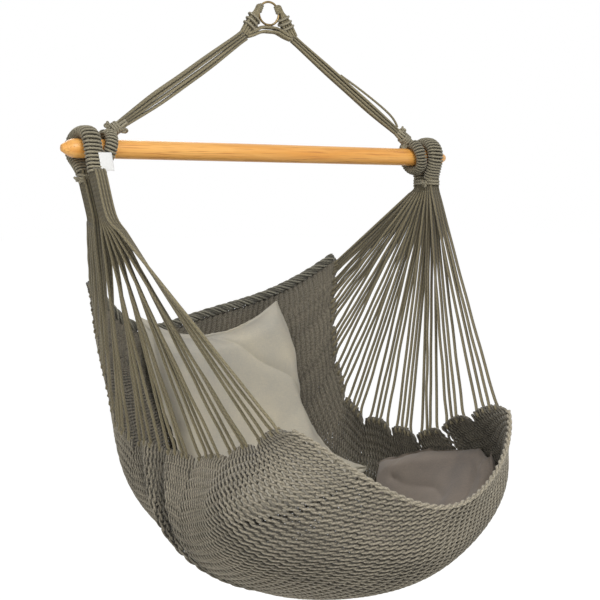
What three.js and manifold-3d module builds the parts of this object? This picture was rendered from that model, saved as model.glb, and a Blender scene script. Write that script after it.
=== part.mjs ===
// A hanging hammock chair: a metal ring, two cord bundles, a wooden spreader bar and a knotted net seat
// that hangs from two whipped loops by forty-four cords a side, with two loose cushions in it.
// Millimetres, +Z up. The origin is where a hook bears inside the top of the ring. The bar runs along X,
// and the sitter faces -Y.

import * as THREE from 'three';
import { mergeVertices } from 'three/addons/utils/BufferGeometryUtils.js';
import Module from 'manifold-3d';

const wasm = await Module();
wasm.setup();

// Driving sizes.
const clearance = 0.3;
const cutOverrun = 60;

const ringDiameter = 56;
const ringWire = 5;

const barLength = 1000;
const barDiameter = 40;
const barDrop = 332;
const barTipLength = 26;
const barTipDiameter = 17;

const cordDiameter = 6;
const whippingDiameter = 5.6;
const fineWhippingDiameter = 5.2;

const hankDrop = 59;
const hankDepth = 22;
const hankThickness = 20;
const pivotDrop = 75;
const pivotHalfSpan = 64;
const hitchLength = 48;
const hitchThickness = 19;
const hitchReach = 38;
const hitchDrop = 27;

const hangerLoopCore = 8.4;
const loopGap = 8.6;
const neckLength = 36;
const neckDiameter = 16;
const neckGatherLength = 7;

const seatLoopInset = 55;
const seatLoopCoreWidth = 30;
const seatLoopCoreDepth = 14.4;
const seatLoopDrop = 52;
const throatSlab = 5;
const throatSpread = 7.5;
const nearThroatGap = 25;
const collarGap = 0.9;

const seatHalfWidth = 333;
const seatReach = 643;
const seatDepth = 944;
const netThickness = 8;
const foldDepth = 13;
const tuftHeight = 26;
const backRopeDiameter = 22;
const frontRopeDiameter = 11;
const rimRopeGap = 1.5;

const backCushionThickness = 105;
const sideCushionThickness = 58;
const cushionSeamThickness = 5;
const cushionRestGap = 1.5;

const labelWidth = 30;
const labelHeight = 38;
const labelThickness = 1;
const labelDrop = 28;
const labelPress = 2.5;

// Counts and angles.
const tuftCount = 11;
const cordsPerTuft = 4;
const netRows = 14;
const netColumns = tuftCount * cordsPerTuft;
const loopTiltDegrees = 15;
const legAngleDegrees = { left: 8, right: 20 };
const turnSteps = 7;
const turnSides = 5;
const seatLoopTurns = 20;
const hangerLoopTurns = 10;
const neckTurns = 2.5;
const collarTurns = 2.25;
const hitchTurns = 3;
const nearBackTufts = 5;

// Places worked out from the driving sizes.
const ringRadius = (ringDiameter - ringWire) / 2;
const ringCentre = new THREE.Vector3(0, 0, -(ringRadius - ringWire / 2));
const barRadius = barDiameter / 2;
const barZ = -barDrop;
const seatLoopSpan = barLength - 2 * seatLoopInset;
const pitch = cordDiameter + 1.4 * clearance;
const tilt = THREE.MathUtils.degToRad(loopTiltDegrees);
const sides = { left: -1, right: 1 };

const colours = {
  cord: 0x8a8371,
  net: 0x857e6c,
  whipping: 0x7c7663,
  wood: 0xe2a05a,
  brass: 0x8c7446,
  linen: 0xbcb3a2,
  taupe: 0x7f7369,
  label: 0xf2f0ea,
};

const group = new THREE.Group();
group.name = 'hammock_chair';

// A closed solid from any closed geometry, turned so that its faces point out.
function solid(geometry) {
  const bare = geometry.index ? geometry.toNonIndexed() : geometry.clone();
  bare.deleteAttribute('normal');
  bare.deleteAttribute('uv');
  const merged = mergeVertices(bare, clearance / 1000);
  const points = merged.attributes.position;
  const faces = merged.index.array;
  const kept = [];
  let volume = 0;
  const corners = [new THREE.Vector3(), new THREE.Vector3(), new THREE.Vector3()];
  for (let i = 0; i < faces.length; i += 3) {
    const [a, b, c] = faces.slice(i, i + 3);
    if (a === b || b === c || c === a) continue;
    kept.push(a, b, c);
    corners.forEach((corner, k) => corner.fromBufferAttribute(points, faces[i + k]));
    volume += corners[0].dot(corners[1].clone().cross(corners[2]));
  }
  if (volume < 0) {
    for (let i = 0; i < kept.length; i += 3) [kept[i], kept[i + 1]] = [kept[i + 1], kept[i]];
  }
  return new wasm.Manifold(new wasm.Mesh({
    numProp: 3,
    vertProperties: new Float32Array(points.array),
    triVerts: new Uint32Array(kept),
  }));
}

function geometryOf(body) {
  const mesh = body.getMesh();
  const geometry = new THREE.BufferGeometry();
  geometry.setAttribute('position', new THREE.BufferAttribute(mesh.vertProperties, 3));
  geometry.setIndex(new THREE.BufferAttribute(mesh.triVerts, 1));
  geometry.computeVertexNormals();
  return geometry;
}

function addPart(name, body, colour, roughness = 0.9, metalness = 0) {
  const material = new THREE.MeshStandardMaterial({ color: colour, roughness, metalness });
  const mesh = new THREE.Mesh(geometryOf(body), material);
  mesh.name = name;
  group.add(mesh);
}

// How far a winding's middle line stands from its core's middle, so that its straight steps clear the core.
function turnReach(core, cord) {
  return ((core + cord) / 2 + clearance) / Math.cos(Math.PI / turnSteps);
}

function join(bodies) {
  return bodies.reduce((whole, body) => whole.add(body));
}

// A route whose rings lie exactly at the given points.
class CordRoute extends THREE.CatmullRomCurve3 {
  getPointAt(t) {
    return this.getPoint(t);
  }

  getTangentAt(t) {
    return this.getTangent(t);
  }
}

function ovalShape(width, depth, sideCount) {
  const points = [];
  for (let i = 0; i < sideCount; i += 1) {
    const angle = (2 * Math.PI * (i + 0.5)) / sideCount;
    points.push(new THREE.Vector2((width / 2) * Math.cos(angle), (depth / 2) * Math.sin(angle)));
  }
  return new THREE.Shape(points);
}

function tube(points, diameter, sideCount = 6) {
  const extrudePath = new CordRoute(points);
  const steps = points.length - 1;
  const shape = ovalShape(diameter, diameter, sideCount);
  return solid(new THREE.ExtrudeGeometry(shape, { steps, bevelEnabled: false, extrudePath }));
}

// A closed tube whose oval section keeps its width along a fixed direction.
function ovalTube(points, across, width, depth, sideCount) {
  const ends = points.length - 1;
  const rings = points.map((point, i) => {
    const before = points[Math.max(i - 1, 0)];
    const after = points[Math.min(i + 1, ends)];
    const along = after.clone().sub(before).normalize();
    const outward = across.clone().cross(along).normalize();
    return ovalShape(width, depth, sideCount).getPoints().slice(0, sideCount).map((corner) => (
      point.clone().addScaledVector(across, corner.x).addScaledVector(outward, corner.y)
    ));
  });
  return solid(ringsGeometry(rings));
}

function ringsGeometry(rings) {
  const count = rings[0].length;
  const positions = [];
  const put = (...corners) => corners.forEach((corner) => positions.push(corner.x, corner.y, corner.z));
  for (let i = 0; i + 1 < rings.length; i += 1) {
    for (let j = 0; j < count; j += 1) {
      const k = (j + 1) % count;
      put(rings[i][j], rings[i][k], rings[i + 1][k]);
      put(rings[i][j], rings[i + 1][k], rings[i + 1][j]);
    }
  }
  const last = rings[rings.length - 1];
  for (let j = 1; j + 1 < count; j += 1) {
    put(rings[0][0], rings[0][j + 1], rings[0][j]);
    put(last[0], last[j], last[j + 1]);
  }
  const geometry = new THREE.BufferGeometry();
  geometry.setAttribute('position', new THREE.Float32BufferAttribute(positions, 3));
  return geometry;
}

// One cord wound round a core: the core's route, its half sizes along and square to "across".
class Winding extends THREE.Curve {
  constructor(core, across, halfWidth, halfDepth, turns) {
    super();
    Object.assign(this, { core, across, halfWidth, halfDepth, turns });
  }

  getPoint(t) {
    const centre = this.core.getPointAt(t);
    const outward = this.across.clone().cross(this.core.getTangentAt(t)).normalize();
    const angle = 2 * Math.PI * this.turns * t;
    return centre
      .addScaledVector(this.across, this.halfWidth * Math.cos(angle))
      .addScaledVector(outward, this.halfDepth * Math.sin(angle));
  }

  getPointAt(t) {
    return this.getPoint(t);
  }

  getTangentAt(t) {
    return this.getTangent(t);
  }

  get steps() {
    return Math.round(this.turns * turnSteps);
  }
}

// The winding as one tube, its ends run on straight for one diameter. It prints its least gap to itself.
function woundCord(name, winding, diameter) {
  const points = winding.getPoints(winding.steps);
  points.unshift(points[0].clone().addScaledVector(winding.getTangent(0), -diameter));
  points.push(points[points.length - 1].clone().addScaledVector(winding.getTangent(1), diameter));
  const samples = winding.getPoints(3 * winding.steps);
  const apart = Math.round((0.6 * samples.length) / winding.turns);
  let least = Infinity;
  for (let i = 0; i < samples.length; i += 1) {
    for (let j = i + apart; j < samples.length; j += 1) {
      least = Math.min(least, samples[i].distanceTo(samples[j]) - diameter);
    }
  }
  console.log(`${name}: least gap between turns ${least.toFixed(2)} mm`);
  return tube(points, diameter, turnSides);
}

// The seat's surface. A station runs from the back rim to the front rim. Each row's shares are of the half
// width, of the forward reach and the depth at the edge, of both again at the middle, then how full, how
// skewed and how bulged that section hangs, and how far it tilts as a share of the depth.
const seatSectionShares = [
  [1.00, 0.36, 0.29, 0.39, 0.39, 2.00, 0.00, 0.00, 0.023],
  [0.98, 0.35, 0.35, 0.44, 0.50, 1.80, 0.10, 0.00, 0.017],
  [0.96, 0.34, 0.43, 0.45, 0.63, 1.50, 0.00, 0.00, 0.010],
  [0.93, 0.29, 0.55, 0.40, 0.78, 1.25, 0.05, -0.04, 0.006],
  [0.93, 0.18, 0.66, 0.25, 0.92, 1.00, 0.02, 0.02, 0.003],
  [0.88, -0.08, 0.68, -0.04, 0.99, 0.87, 0.02, 0.10, 0.002],
  [0.83, -0.32, 0.68, -0.38, 1.00, 0.66, 0.08, 0.16, 0.003],
  [0.80, -0.54, 0.63, -0.82, 0.90, 0.95, 0.14, 0.33, 0.009],
  [0.80, -0.77, 0.57, -1.00, 0.73, 2.40, 0.43, 0.04, 0.002],
];

const seatSections = seatSectionShares.map((row) => {
  const [width, edgeBack, edgeDown, midBack, midDown, form, lean, bulge, tiltRise] = row;
  return [
    width * seatHalfWidth,
    edgeBack * seatReach,
    barZ - edgeDown * seatDepth,
    midBack * seatReach,
    barZ - midDown * seatDepth,
    form,
    lean,
    bulge,
    tiltRise * seatDepth,
  ];
});

function smoothBetween(rows, station) {
  const last = rows.length - 1;
  const place = station * last;
  const i = Math.min(Math.max(Math.floor(place), 0), last - 1);
  const f = place - i;
  return rows[0].map((_, k) => {
    const p1 = rows[i][k];
    const p2 = rows[i + 1][k];
    const p0 = i > 0 ? rows[i - 1][k] : 2 * p1 - p2;
    const p3 = i + 2 <= last ? rows[i + 2][k] : 2 * p2 - p1;
    return 0.5 * (2 * p1 + (p2 - p0) * f + (2 * p0 - 5 * p1 + 4 * p2 - p3) * f ** 2
      + (3 * p1 - p0 - 3 * p2 + p3) * f ** 3);
  });
}

function smoothSeat(station, angle) {
  const section = smoothBetween(seatSections, station);
  const [width, edgeY, edgeZ, midY, midZ, form, lean, bulge, tiltRise] = section;
  const across = Math.sin(angle);
  const cosine = Math.max(Math.cos(angle), 0);
  const power = form - lean * across;
  const fall = cosine ** power;
  return new THREE.Vector3(
    width * across * (1 + 4 * bulge * fall * (1 - fall)),
    edgeY + (midY - edgeY) * cosine ** (0.5 * power + 0.7),
    edgeZ + (midZ - edgeZ) * fall + tiltRise * across,
  );
}

function seatNormal(station, angle) {
  const step = 0.01;
  const inner = Math.max(Math.min(angle, Math.PI / 2 - 6 * step), -Math.PI / 2 + 6 * step);
  const s = Math.max(Math.min(station, 1 - step), step);
  const alongSeat = smoothSeat(s + step, inner).sub(smoothSeat(s - step, inner));
  const acrossSeat = smoothSeat(s, inner + step).sub(smoothSeat(s, inner - step));
  return acrossSeat.cross(alongSeat).normalize();
}

// Three pleats where the net gathers under the near side's front tufts, dying out towards the middle.
const foldStationShares = [0.535, 0.58, 0.625];
const foldSpanShare = 0.02;

function foldAt(station, angle) {
  const window = Math.sin(Math.PI * Math.min(Math.max((-angle / (Math.PI / 2) - 0.25) / 0.75, 0), 1));
  const ridges = foldStationShares.map((at) => Math.exp(-(((station - at) / foldSpanShare) ** 2)));
  return foldDepth * window * ridges.reduce((total, ridge) => total + ridge, 0);
}

function seatPoint(station, angle, offset = 0) {
  return smoothSeat(station, angle)
    .addScaledVector(seatNormal(station, angle), foldAt(station, angle) + offset);
}

// Where the cords leave the throat below each seat loop. The near loop keeps its back cords apart.
const sideNames = { '-1': 'left', 1: 'right' };

function legAngleOf(side) {
  return THREE.MathUtils.degToRad(legAngleDegrees[sideNames[side]]);
}

function throatTop(side) {
  return barZ - seatLoopDrop - (seatLoopCoreDepth / 2) * Math.sin(legAngleOf(side)) - clearance;
}

function throatPoint(side, tuft, row) {
  const apart = side < 0 ? nearThroatGap / 2 : 0;
  const x = side * (seatLoopSpan / 2 + (row - (cordsPerTuft - 1) / 2) * pitch);
  const middle = side < 0 ? nearBackTufts - 0.5 : (tuftCount - 1) / 2;
  const y = (middle - tuft) * pitch + (tuft < nearBackTufts ? apart : -apart);
  return new THREE.Vector3(x, y, throatTop(side));
}

// The tuft's edge rises towards the throat between its two feet, less where the cords run along the edge.
function tuftPoint(side, station, offset = 0) {
  const angle = (side * Math.PI) / 2;
  const foot = seatPoint(station, angle, offset);
  const away = new THREE.Vector3((side * seatLoopSpan) / 2, 0, barZ - seatLoopDrop).sub(foot).normalize();
  const step = 0.02;
  const alongEdge = smoothSeat(station + step, angle).sub(smoothSeat(station - step, angle)).normalize();
  const squareShare = away.clone().cross(alongEdge).length();
  const rise = tuftHeight * squareShare * Math.abs(Math.sin(Math.PI * station * tuftCount));
  return foot.addScaledVector(away, rise);
}

function netSkin(offset, grow) {
  const rows = [];
  for (let i = 0; i <= netColumns; i += 1) {
    const station = i / netColumns;
    const row = [];
    for (let j = 0; j <= netRows; j += 1) {
      const angle = -Math.PI / 2 + (Math.PI * j) / netRows;
      const edge = j === 0 ? -1 : Number(j === netRows);
      row.push(edge ? tuftPoint(edge, station, offset) : seatPoint(station, angle, offset));
    }
    rows.push(row);
  }
  const pushOut = (point, inner) => point.addScaledVector(point.clone().sub(inner).normalize(), grow);
  if (grow) {
    rows.forEach((row) => {
      pushOut(row[0], row[1]);
      pushOut(row[netRows], row[netRows - 1]);
    });
    for (let j = 0; j <= netRows; j += 1) {
      pushOut(rows[0][j], rows[1][j]);
      pushOut(rows[netColumns][j], rows[netColumns - 1][j]);
    }
  }
  return rows;
}

// The net as one closed shell, thicker and longer by "grow" where it is used to cut its neighbours.
function netShell(grow = 0) {
  const half = netThickness / 2 + grow;
  const outer = netSkin(half, grow);
  const inner = netSkin(-half, grow);
  const positions = [];
  const put = (...corners) => corners.forEach((corner) => positions.push(corner.x, corner.y, corner.z));
  const quad = (a, b, c, d) => {
    put(a, b, c);
    put(a, c, d);
  };
  for (let i = 0; i < netColumns; i += 1) {
    for (let j = 0; j < netRows; j += 1) {
      quad(outer[i][j], outer[i + 1][j], outer[i + 1][j + 1], outer[i][j + 1]);
      quad(inner[i][j], inner[i][j + 1], inner[i + 1][j + 1], inner[i + 1][j]);
    }
  }
  for (const j of [0, netRows]) {
    for (let i = 0; i < netColumns; i += 1) {
      const rim = [outer[i][j], inner[i][j], inner[i + 1][j], outer[i + 1][j]];
      quad(...(j === 0 ? rim : rim.reverse()));
    }
  }
  for (const i of [0, netColumns]) {
    for (let j = 0; j < netRows; j += 1) {
      const rim = [outer[i][j], outer[i][j + 1], inner[i][j + 1], inner[i][j]];
      quad(...(i === 0 ? rim : rim.reverse()));
    }
  }
  const geometry = new THREE.BufferGeometry();
  geometry.setAttribute('position', new THREE.Float32BufferAttribute(positions, 3));
  return solid(geometry);
}

// The hanging ring, and the same ring with clearance for what wraps round it.
function ringSolid(extra, tubeSides, ringSides) {
  const geometry = new THREE.TorusGeometry(ringRadius, ringWire / 2 + extra, tubeSides, ringSides);
  geometry.rotateX(Math.PI / 2);
  geometry.translate(ringCentre.x, ringCentre.y, ringCentre.z);
  return solid(geometry);
}

function addRing() {
  addPart('hanging_ring', ringSolid(0, 8, 32), colours.brass, 0.35, 1);
}

// The hank of cords that passes under the ring and runs out to both bundles.
const hankRoute = [
  [-pivotHalfSpan - hankDepth / 2, -pivotDrop - 0.30 * hankThickness],
  [-pivotHalfSpan, -pivotDrop],
  [-0.68 * pivotHalfSpan, -pivotDrop + 0.38 * hankThickness],
  [-0.32 * pivotHalfSpan, -hankDrop - 0.08 * hankThickness],
  [0, -hankDrop],
  [0.32 * pivotHalfSpan, -hankDrop - 0.08 * hankThickness],
  [0.68 * pivotHalfSpan, -pivotDrop + 0.38 * hankThickness],
  [pivotHalfSpan, -pivotDrop],
  [pivotHalfSpan + hankDepth / 2, -pivotDrop - 0.30 * hankThickness],
].map(([x, z]) => new THREE.Vector3(x, 0, z));

function hankSolid(extra) {
  const across = new THREE.Vector3(0, 1, 0);
  return ovalTube(hankRoute, across, hankDepth + 2 * extra, hankThickness + 2 * extra, 10);
}

function beyondPivot(side) {
  const box = new THREE.BoxGeometry(cutOverrun, 2 * cutOverrun, 2 * cutOverrun);
  box.translate(side * (pivotHalfSpan + cutOverrun / 2), 0, -pivotDrop);
  return solid(box);
}

// One hitch stands on the ring's side: a core of doubled cord, with turns round its outer half.
function hitchAxis(side) {
  const centre = new THREE.Vector3(side * hitchReach, 0, -hitchDrop);
  const along = new THREE.Vector3(side * 0.72, 0, -0.69).normalize();
  const square = new THREE.Vector3(0, 1, 0).cross(along).normalize();
  return { centre, along, square };
}

function addHitches() {
  const ringRoom = ringSolid(clearance, 8, 32);
  const hank = hankSolid(0).subtract(ringRoom).subtract(beyondPivot(-1)).subtract(beyondPivot(1));
  addPart('hitch_hank', hank, colours.cord);
  const hankRoom = hankSolid(clearance);
  for (const [name, side] of Object.entries(sides)) {
    const { centre, along } = hitchAxis(side);
    const core = new THREE.SphereGeometry(1, 12, 8);
    core.scale(hitchThickness / 2, hitchThickness / 2, hitchLength / 2);
    core.applyQuaternion(new THREE.Quaternion().setFromUnitVectors(new THREE.Vector3(0, 0, 1), along));
    core.translate(centre.x, centre.y, centre.z);
    addPart(`hitch_core_${name}`, solid(core).subtract(ringRoom).subtract(hankRoom), colours.cord);
    const reach = turnReach(hitchThickness, whippingDiameter);
    const start = centre.clone().addScaledVector(along, -0.04 * hitchLength);
    const end = centre.clone().addScaledVector(along, 0.38 * hitchLength);
    const winding = new Winding(new THREE.LineCurve3(start, end), new THREE.Vector3(0, 1, 0),
      reach, reach, hitchTurns);
    const turns = woundCord(`hitch_turns_${name}`, winding, whippingDiameter);
    addPart(`hitch_turns_${name}`, turns, colours.whipping);
  }
}

// A hanger loop is a ring of cord round the bar, leaning inwards to its neck and the bundle above.
const hangerTurnReach = turnReach(hangerLoopCore, fineWhippingDiameter);
const hangerLoopEnvelope = hangerTurnReach + fineWhippingDiameter / 2;
const hangerLoopRadius = (barRadius + clearance) / Math.cos(tilt) + 3 * clearance + hangerLoopEnvelope;

function hangerLoopFrame(side) {
  const lift = (hangerLoopRadius - hangerLoopEnvelope) * Math.cos(tilt) - barRadius - 2 * clearance;
  const centre = new THREE.Vector3((side * hangerLoopSpan) / 2, 0, barZ + lift);
  const up = new THREE.Vector3(-side * Math.sin(tilt), 0, Math.cos(tilt));
  const top = centre.clone().addScaledVector(up, hangerLoopRadius);
  const towards = new THREE.Vector3(side * pivotHalfSpan, 0, -pivotDrop).sub(top).normalize();
  const neckTop = top.clone().addScaledVector(towards, neckLength);
  return { centre, up, top, towards, neckTop };
}

function loopArc(side, fromAngle, toAngle) {
  const { centre, up } = hangerLoopFrame(side);
  const points = [];
  const count = 32;
  for (let i = 0; i <= count; i += 1) {
    const angle = fromAngle + ((toAngle - fromAngle) * i) / count;
    points.push(centre.clone()
      .addScaledVector(up, hangerLoopRadius * Math.cos(angle))
      .addScaledVector(new THREE.Vector3(0, 1, 0), hangerLoopRadius * Math.sin(angle)));
  }
  return new THREE.CatmullRomCurve3(points);
}

function addHangerLoops() {
  for (const [name, side] of Object.entries(sides)) {
    const { centre, up, top, towards, neckTop } = hangerLoopFrame(side);
    const ring = new THREE.TorusGeometry(hangerLoopRadius, hangerLoopCore / 2, 6, 24);
    ring.rotateY(Math.PI / 2);
    ring.rotateY(-side * tilt);
    ring.translate(centre.x, centre.y, centre.z);
    const neck = ovalTube([top, neckTop], new THREE.Vector3(0, 1, 0), neckDiameter, neckDiameter, 10);
    addPart(`hanger_loop_${name}`, solid(ring).add(neck), colours.cord);
    const across = new THREE.Vector3(0, 1, 0).cross(up).normalize();
    const openAngle = (neckDiameter / 2 + 2 * fineWhippingDiameter) / hangerLoopRadius;
    const core = loopArc(side, openAngle, 2 * Math.PI - openAngle);
    const winding = new Winding(core, across, hangerTurnReach, hangerTurnReach, hangerLoopTurns);
    const whipping = woundCord(`hanger_whipping_${name}`, winding, fineWhippingDiameter);
    addPart(`hanger_whipping_${name}`, whipping, colours.whipping);
    const start = neckTop.clone().addScaledVector(towards, -neckGatherLength - neckTurns * pitch);
    const end = neckTop.clone().addScaledVector(towards, -neckGatherLength);
    const neckReach = turnReach(neckDiameter, whippingDiameter);
    const turns = new Winding(new THREE.LineCurve3(start, end), new THREE.Vector3(0, 1, 0),
      neckReach, neckReach, neckTurns);
    const knot = woundCord(`hanger_knot_${name}`, turns, whippingDiameter);
    addPart(`hanger_knot_${name}`, knot, colours.whipping);
  }
}

// The two bundles: cords from the hank's cut ends down to each neck, opening a little on the way.
const bundleRowShares = {
  left: [[-1, -0.5], [0, -0.5], [1, -0.5], [-1, 0.5], [0, 0.5], [1, 0.5]],
  right: [[-0.5, -1], [-0.5, 0], [-0.5, 1], [0.5, -0.5], [0.5, 0.5]],
};
const bundleSpreadShare = 1.28;

function addBundles() {
  for (const [name, side] of Object.entries(sides)) {
    const { towards, neckTop } = hangerLoopFrame(side);
    const start = new THREE.Vector3(side * pivotHalfSpan, 0, -pivotDrop);
    const square = new THREE.Vector3(0, 1, 0).cross(towards).normalize();
    const length = start.distanceTo(neckTop);
    const neckEnd = neckTop.clone().addScaledVector(towards, clearance);
    bundleRowShares[name].forEach(([rise, shift], index) => {
      const shares = [-0.04, 0.06, 0.3, 0.7, 0.94, 1];
      const spreads = [1, 1, bundleSpreadShare, bundleSpreadShare, 1, 1];
      const points = shares.map((share, k) => start.clone().lerp(neckEnd, share)
        .addScaledVector(square, rise * pitch * spreads[k])
        .add(new THREE.Vector3(0, shift * pitch * spreads[k], -0.006 * length * Math.sin(Math.PI * share))));
      const room = new THREE.BoxGeometry(2 * cutOverrun, 2 * cutOverrun, 2 * cutOverrun);
      room.translate(side * (pivotHalfSpan + clearance - cutOverrun), 0, -pivotDrop);
      const cord = tube(points, cordDiameter).subtract(solid(room));
      addPart(`hanger_cord_${name}_${index + 1}`, cord, colours.cord);
    });
  }
}

// One cord of the far bundle has slipped and stands off above the others.
const looseCordShares = [
  [0.41, 1.18, 0], [0.45, 1.42, 0], [0.54, 2.4, 0.1], [0.68, 3.1, 0.2], [0.8, 3.4, 0.1],
  [0.88, 3.1, 0], [0.93, 2.2, 0], [0.955, 1.12, 0],
];

function addLooseCord() {
  const { towards, neckTop } = hangerLoopFrame(1);
  const start = new THREE.Vector3(pivotHalfSpan, 0, -pivotDrop);
  const square = new THREE.Vector3(0, -1, 0).cross(towards).normalize();
  const upwards = square.z > 0 ? square : square.negate();
  const points = looseCordShares.map(([share, rise, shift]) => start.clone().lerp(neckTop, share)
    .addScaledVector(upwards, rise * pitch)
    .add(new THREE.Vector3(0, shift * pitch, 0)));
  addPart('loose_cord', tube(points, cordDiameter), colours.cord);
}

// The spreader bar is a turned dowel with blunt cone tips.
function addBar() {
  const half = barLength / 2;
  const profile = [
    [0, -half],
    [0.62 * barTipDiameter / 2, -half],
    [barTipDiameter / 2, -half + 0.08 * barTipLength],
    [0.86 * barRadius, -half + 0.72 * barTipLength],
    [0.96 * barRadius, -half + 0.9 * barTipLength],
    [barRadius, -half + 1.15 * barTipLength],
  ];
  const mirrored = profile.map(([radius, along]) => [radius, -along]).reverse();
  const points = [...profile, ...mirrored].map(([radius, along]) => new THREE.Vector2(radius, along));
  const bar = new THREE.LatheGeometry(points, 32);
  bar.rotateZ(-Math.PI / 2);
  bar.translate(0, 0, barZ);
  addPart('spreader_bar', solid(bar), colours.wood, 0.5);
}

// A seat loop is a flat horseshoe of cord over the bar, whipped from one leg to the other.
const seatLoopHalfDepth = turnReach(seatLoopCoreDepth, whippingDiameter) + whippingDiameter / 2;
const seatLoopRadius = barRadius + clearance + seatLoopHalfDepth;
const seatLoopWidth = 2 * turnReach(seatLoopCoreWidth, whippingDiameter) + whippingDiameter;
const hangerLoopSpan = seatLoopSpan - 2 * (seatLoopWidth / 2 + hangerLoopEnvelope + loopGap);

function seatLoopRoute(side, legSteps, arcSteps) {
  const x = (side * seatLoopSpan) / 2;
  const legAngle = legAngleOf(side);
  const legTop = new THREE.Vector3(x, -seatLoopRadius * Math.cos(legAngle),
    barZ - seatLoopRadius * Math.sin(legAngle));
  const legLength = (seatLoopDrop - seatLoopRadius * Math.sin(legAngle)) / Math.cos(legAngle);
  const points = [];
  for (let i = 0; i < legSteps; i += 1) {
    const below = legLength * (1 - i / legSteps);
    const down = new THREE.Vector3(0, below * Math.sin(legAngle), -below * Math.cos(legAngle));
    points.push(legTop.clone().add(down));
  }
  for (let i = 0; i <= arcSteps; i += 1) {
    const angle = -legAngle + ((Math.PI + 2 * legAngle) * i) / arcSteps;
    const forward = seatLoopRadius * Math.cos(angle);
    points.push(new THREE.Vector3(x, -forward, barZ + seatLoopRadius * Math.sin(angle)));
  }
  for (let i = 1; i <= legSteps; i += 1) {
    const mirrored = points[legSteps - i].clone();
    mirrored.y *= -1;
    points.push(mirrored);
  }
  return points;
}

function addSeatLoops() {
  const across = new THREE.Vector3(1, 0, 0);
  for (const [name, side] of Object.entries(sides)) {
    const core = ovalTube(seatLoopRoute(side, 3, 14), across, seatLoopCoreWidth, seatLoopCoreDepth, 10);
    addPart(`seat_loop_${name}`, core, colours.cord);
    const route = new THREE.CatmullRomCurve3(seatLoopRoute(side, 10, 48).slice(2, -2));
    const halfWidth = turnReach(seatLoopCoreWidth, whippingDiameter);
    const halfDepth = turnReach(seatLoopCoreDepth, whippingDiameter);
    const winding = new Winding(route, across, halfWidth, halfDepth, seatLoopTurns);
    const whipping = woundCord(`seat_whipping_${name}`, winding, whippingDiameter);
    addPart(`seat_whipping_${name}`, whipping, colours.whipping);
  }
}

// Turns of cord bind the throat: all of the far fan, and only the back cords of the near one.
const collarDrop = collarTurns * (whippingDiameter + collarGap);
const collarReach = (cordDiameter + whippingDiameter) / 2 + clearance;

// A turn that hugs the oblong throat: four flat sides and four cut corners.
class SquaredWinding extends Winding {
  getPoint(t) {
    const corners = [[1, 0], [0, 1], [0, 1], [-1, 0], [-1, 0], [0, -1], [0, -1], [1, 0]];
    const signs = [[1, 1], [1, 1], [-1, 1], [-1, 1], [-1, -1], [-1, -1], [1, -1], [1, -1]];
    const cut = (2 - Math.SQRT2) * collarReach;
    const place = this.turns * t * corners.length;
    const cornerAt = (number) => {
      const i = number % corners.length;
      const onSide = corners[i][0] !== 0;
      return new THREE.Vector3(
        signs[i][0] * (this.halfWidth - (onSide ? 0 : cut)),
        signs[i][1] * (this.halfDepth - (onSide ? cut : 0)),
        0,
      );
    };
    const first = Math.floor(place);
    const offset = cornerAt(first).lerp(cornerAt(first + 1), place - first);
    return this.core.getPoint(t).add(offset);
  }

  get steps() {
    return Math.round(this.turns * 8);
  }
}

function addCollars() {
  for (const [name, side] of Object.entries(sides)) {
    const lastTuft = side < 0 ? nearBackTufts - 1 : tuftCount - 1;
    const first = throatPoint(side, 0, 0);
    const last = throatPoint(side, lastTuft, cordsPerTuft - 1);
    const middle = first.clone().add(last).multiplyScalar(0.5);
    const top = middle.clone().setZ(middle.z - throatSlab - whippingDiameter);
    const route = new THREE.LineCurve3(top, top.clone().setZ(top.z - collarDrop));
    const halfX = Math.abs(first.x - last.x) / 2 + collarReach;
    const halfY = Math.abs(first.y - last.y) / 2 + collarReach;
    const winding = new SquaredWinding(route, null, halfX, halfY, collarTurns);
    addPart(`throat_collar_${name}`, woundCord(`throat_collar_${name}`, winding, whippingDiameter),
      colours.whipping);
  }
}

// A fan group is the four cords of one tuft, joined where they enter the throat.
// Outer cords bend first below the collar, so that neighbours keep clear as they spread.
function fanGroup(side, tuft) {
  const cords = [];
  const spreadShare = ((tuft - (tuftCount - 1) / 2) / ((tuftCount - 1) / 2)) ** 2;
  const waistDrop = throatSlab + 1.5 * whippingDiameter + collarDrop + throatSpread * (1 - spreadShare);
  for (let row = 0; row < cordsPerTuft; row += 1) {
    const top = throatPoint(side, tuft, row);
    const waist = top.clone().setZ(top.z - waistDrop);
    const column = tuft * cordsPerTuft + row;
    const footA = tuftPoint(side, column / netColumns);
    const footB = tuftPoint(side, (column + 1) / netColumns);
    const edge = footA.clone().add(footB).multiplyScalar(0.5);
    const towards = waist.clone().sub(edge).normalize();
    const through = seatNormal((column + 0.5) / netColumns, (side * Math.PI) / 2);
    const facing = Math.abs(footB.clone().sub(footA).cross(through).normalize().dot(towards));
    const lift = ((cordDiameter / 2) * Math.sqrt(1 - facing ** 2) + clearance) / facing;
    top.z -= throatSlab / 2;
    cords.push(tube([top, waist, edge.addScaledVector(towards, lift)], cordDiameter));
  }
  const slab = new THREE.BoxGeometry((cordsPerTuft - 1) * pitch + cordDiameter, cordDiameter, throatSlab);
  const middleTop = throatPoint(side, tuft, 0)
    .add(throatPoint(side, tuft, cordsPerTuft - 1))
    .multiplyScalar(0.5);
  slab.translate(middleTop.x, middleTop.y, middleTop.z - throatSlab / 2);
  return join([...cords, solid(slab)]);
}

function addFans(netRoom) {
  for (const [name, side] of Object.entries(sides)) {
    for (let tuft = 0; tuft < tuftCount; tuft += 1) {
      const number = String(tuft + 1).padStart(2, '0');
      addPart(`fan_${name}_${number}`, fanGroup(side, tuft).subtract(netRoom), colours.cord);
    }
  }
}

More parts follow.
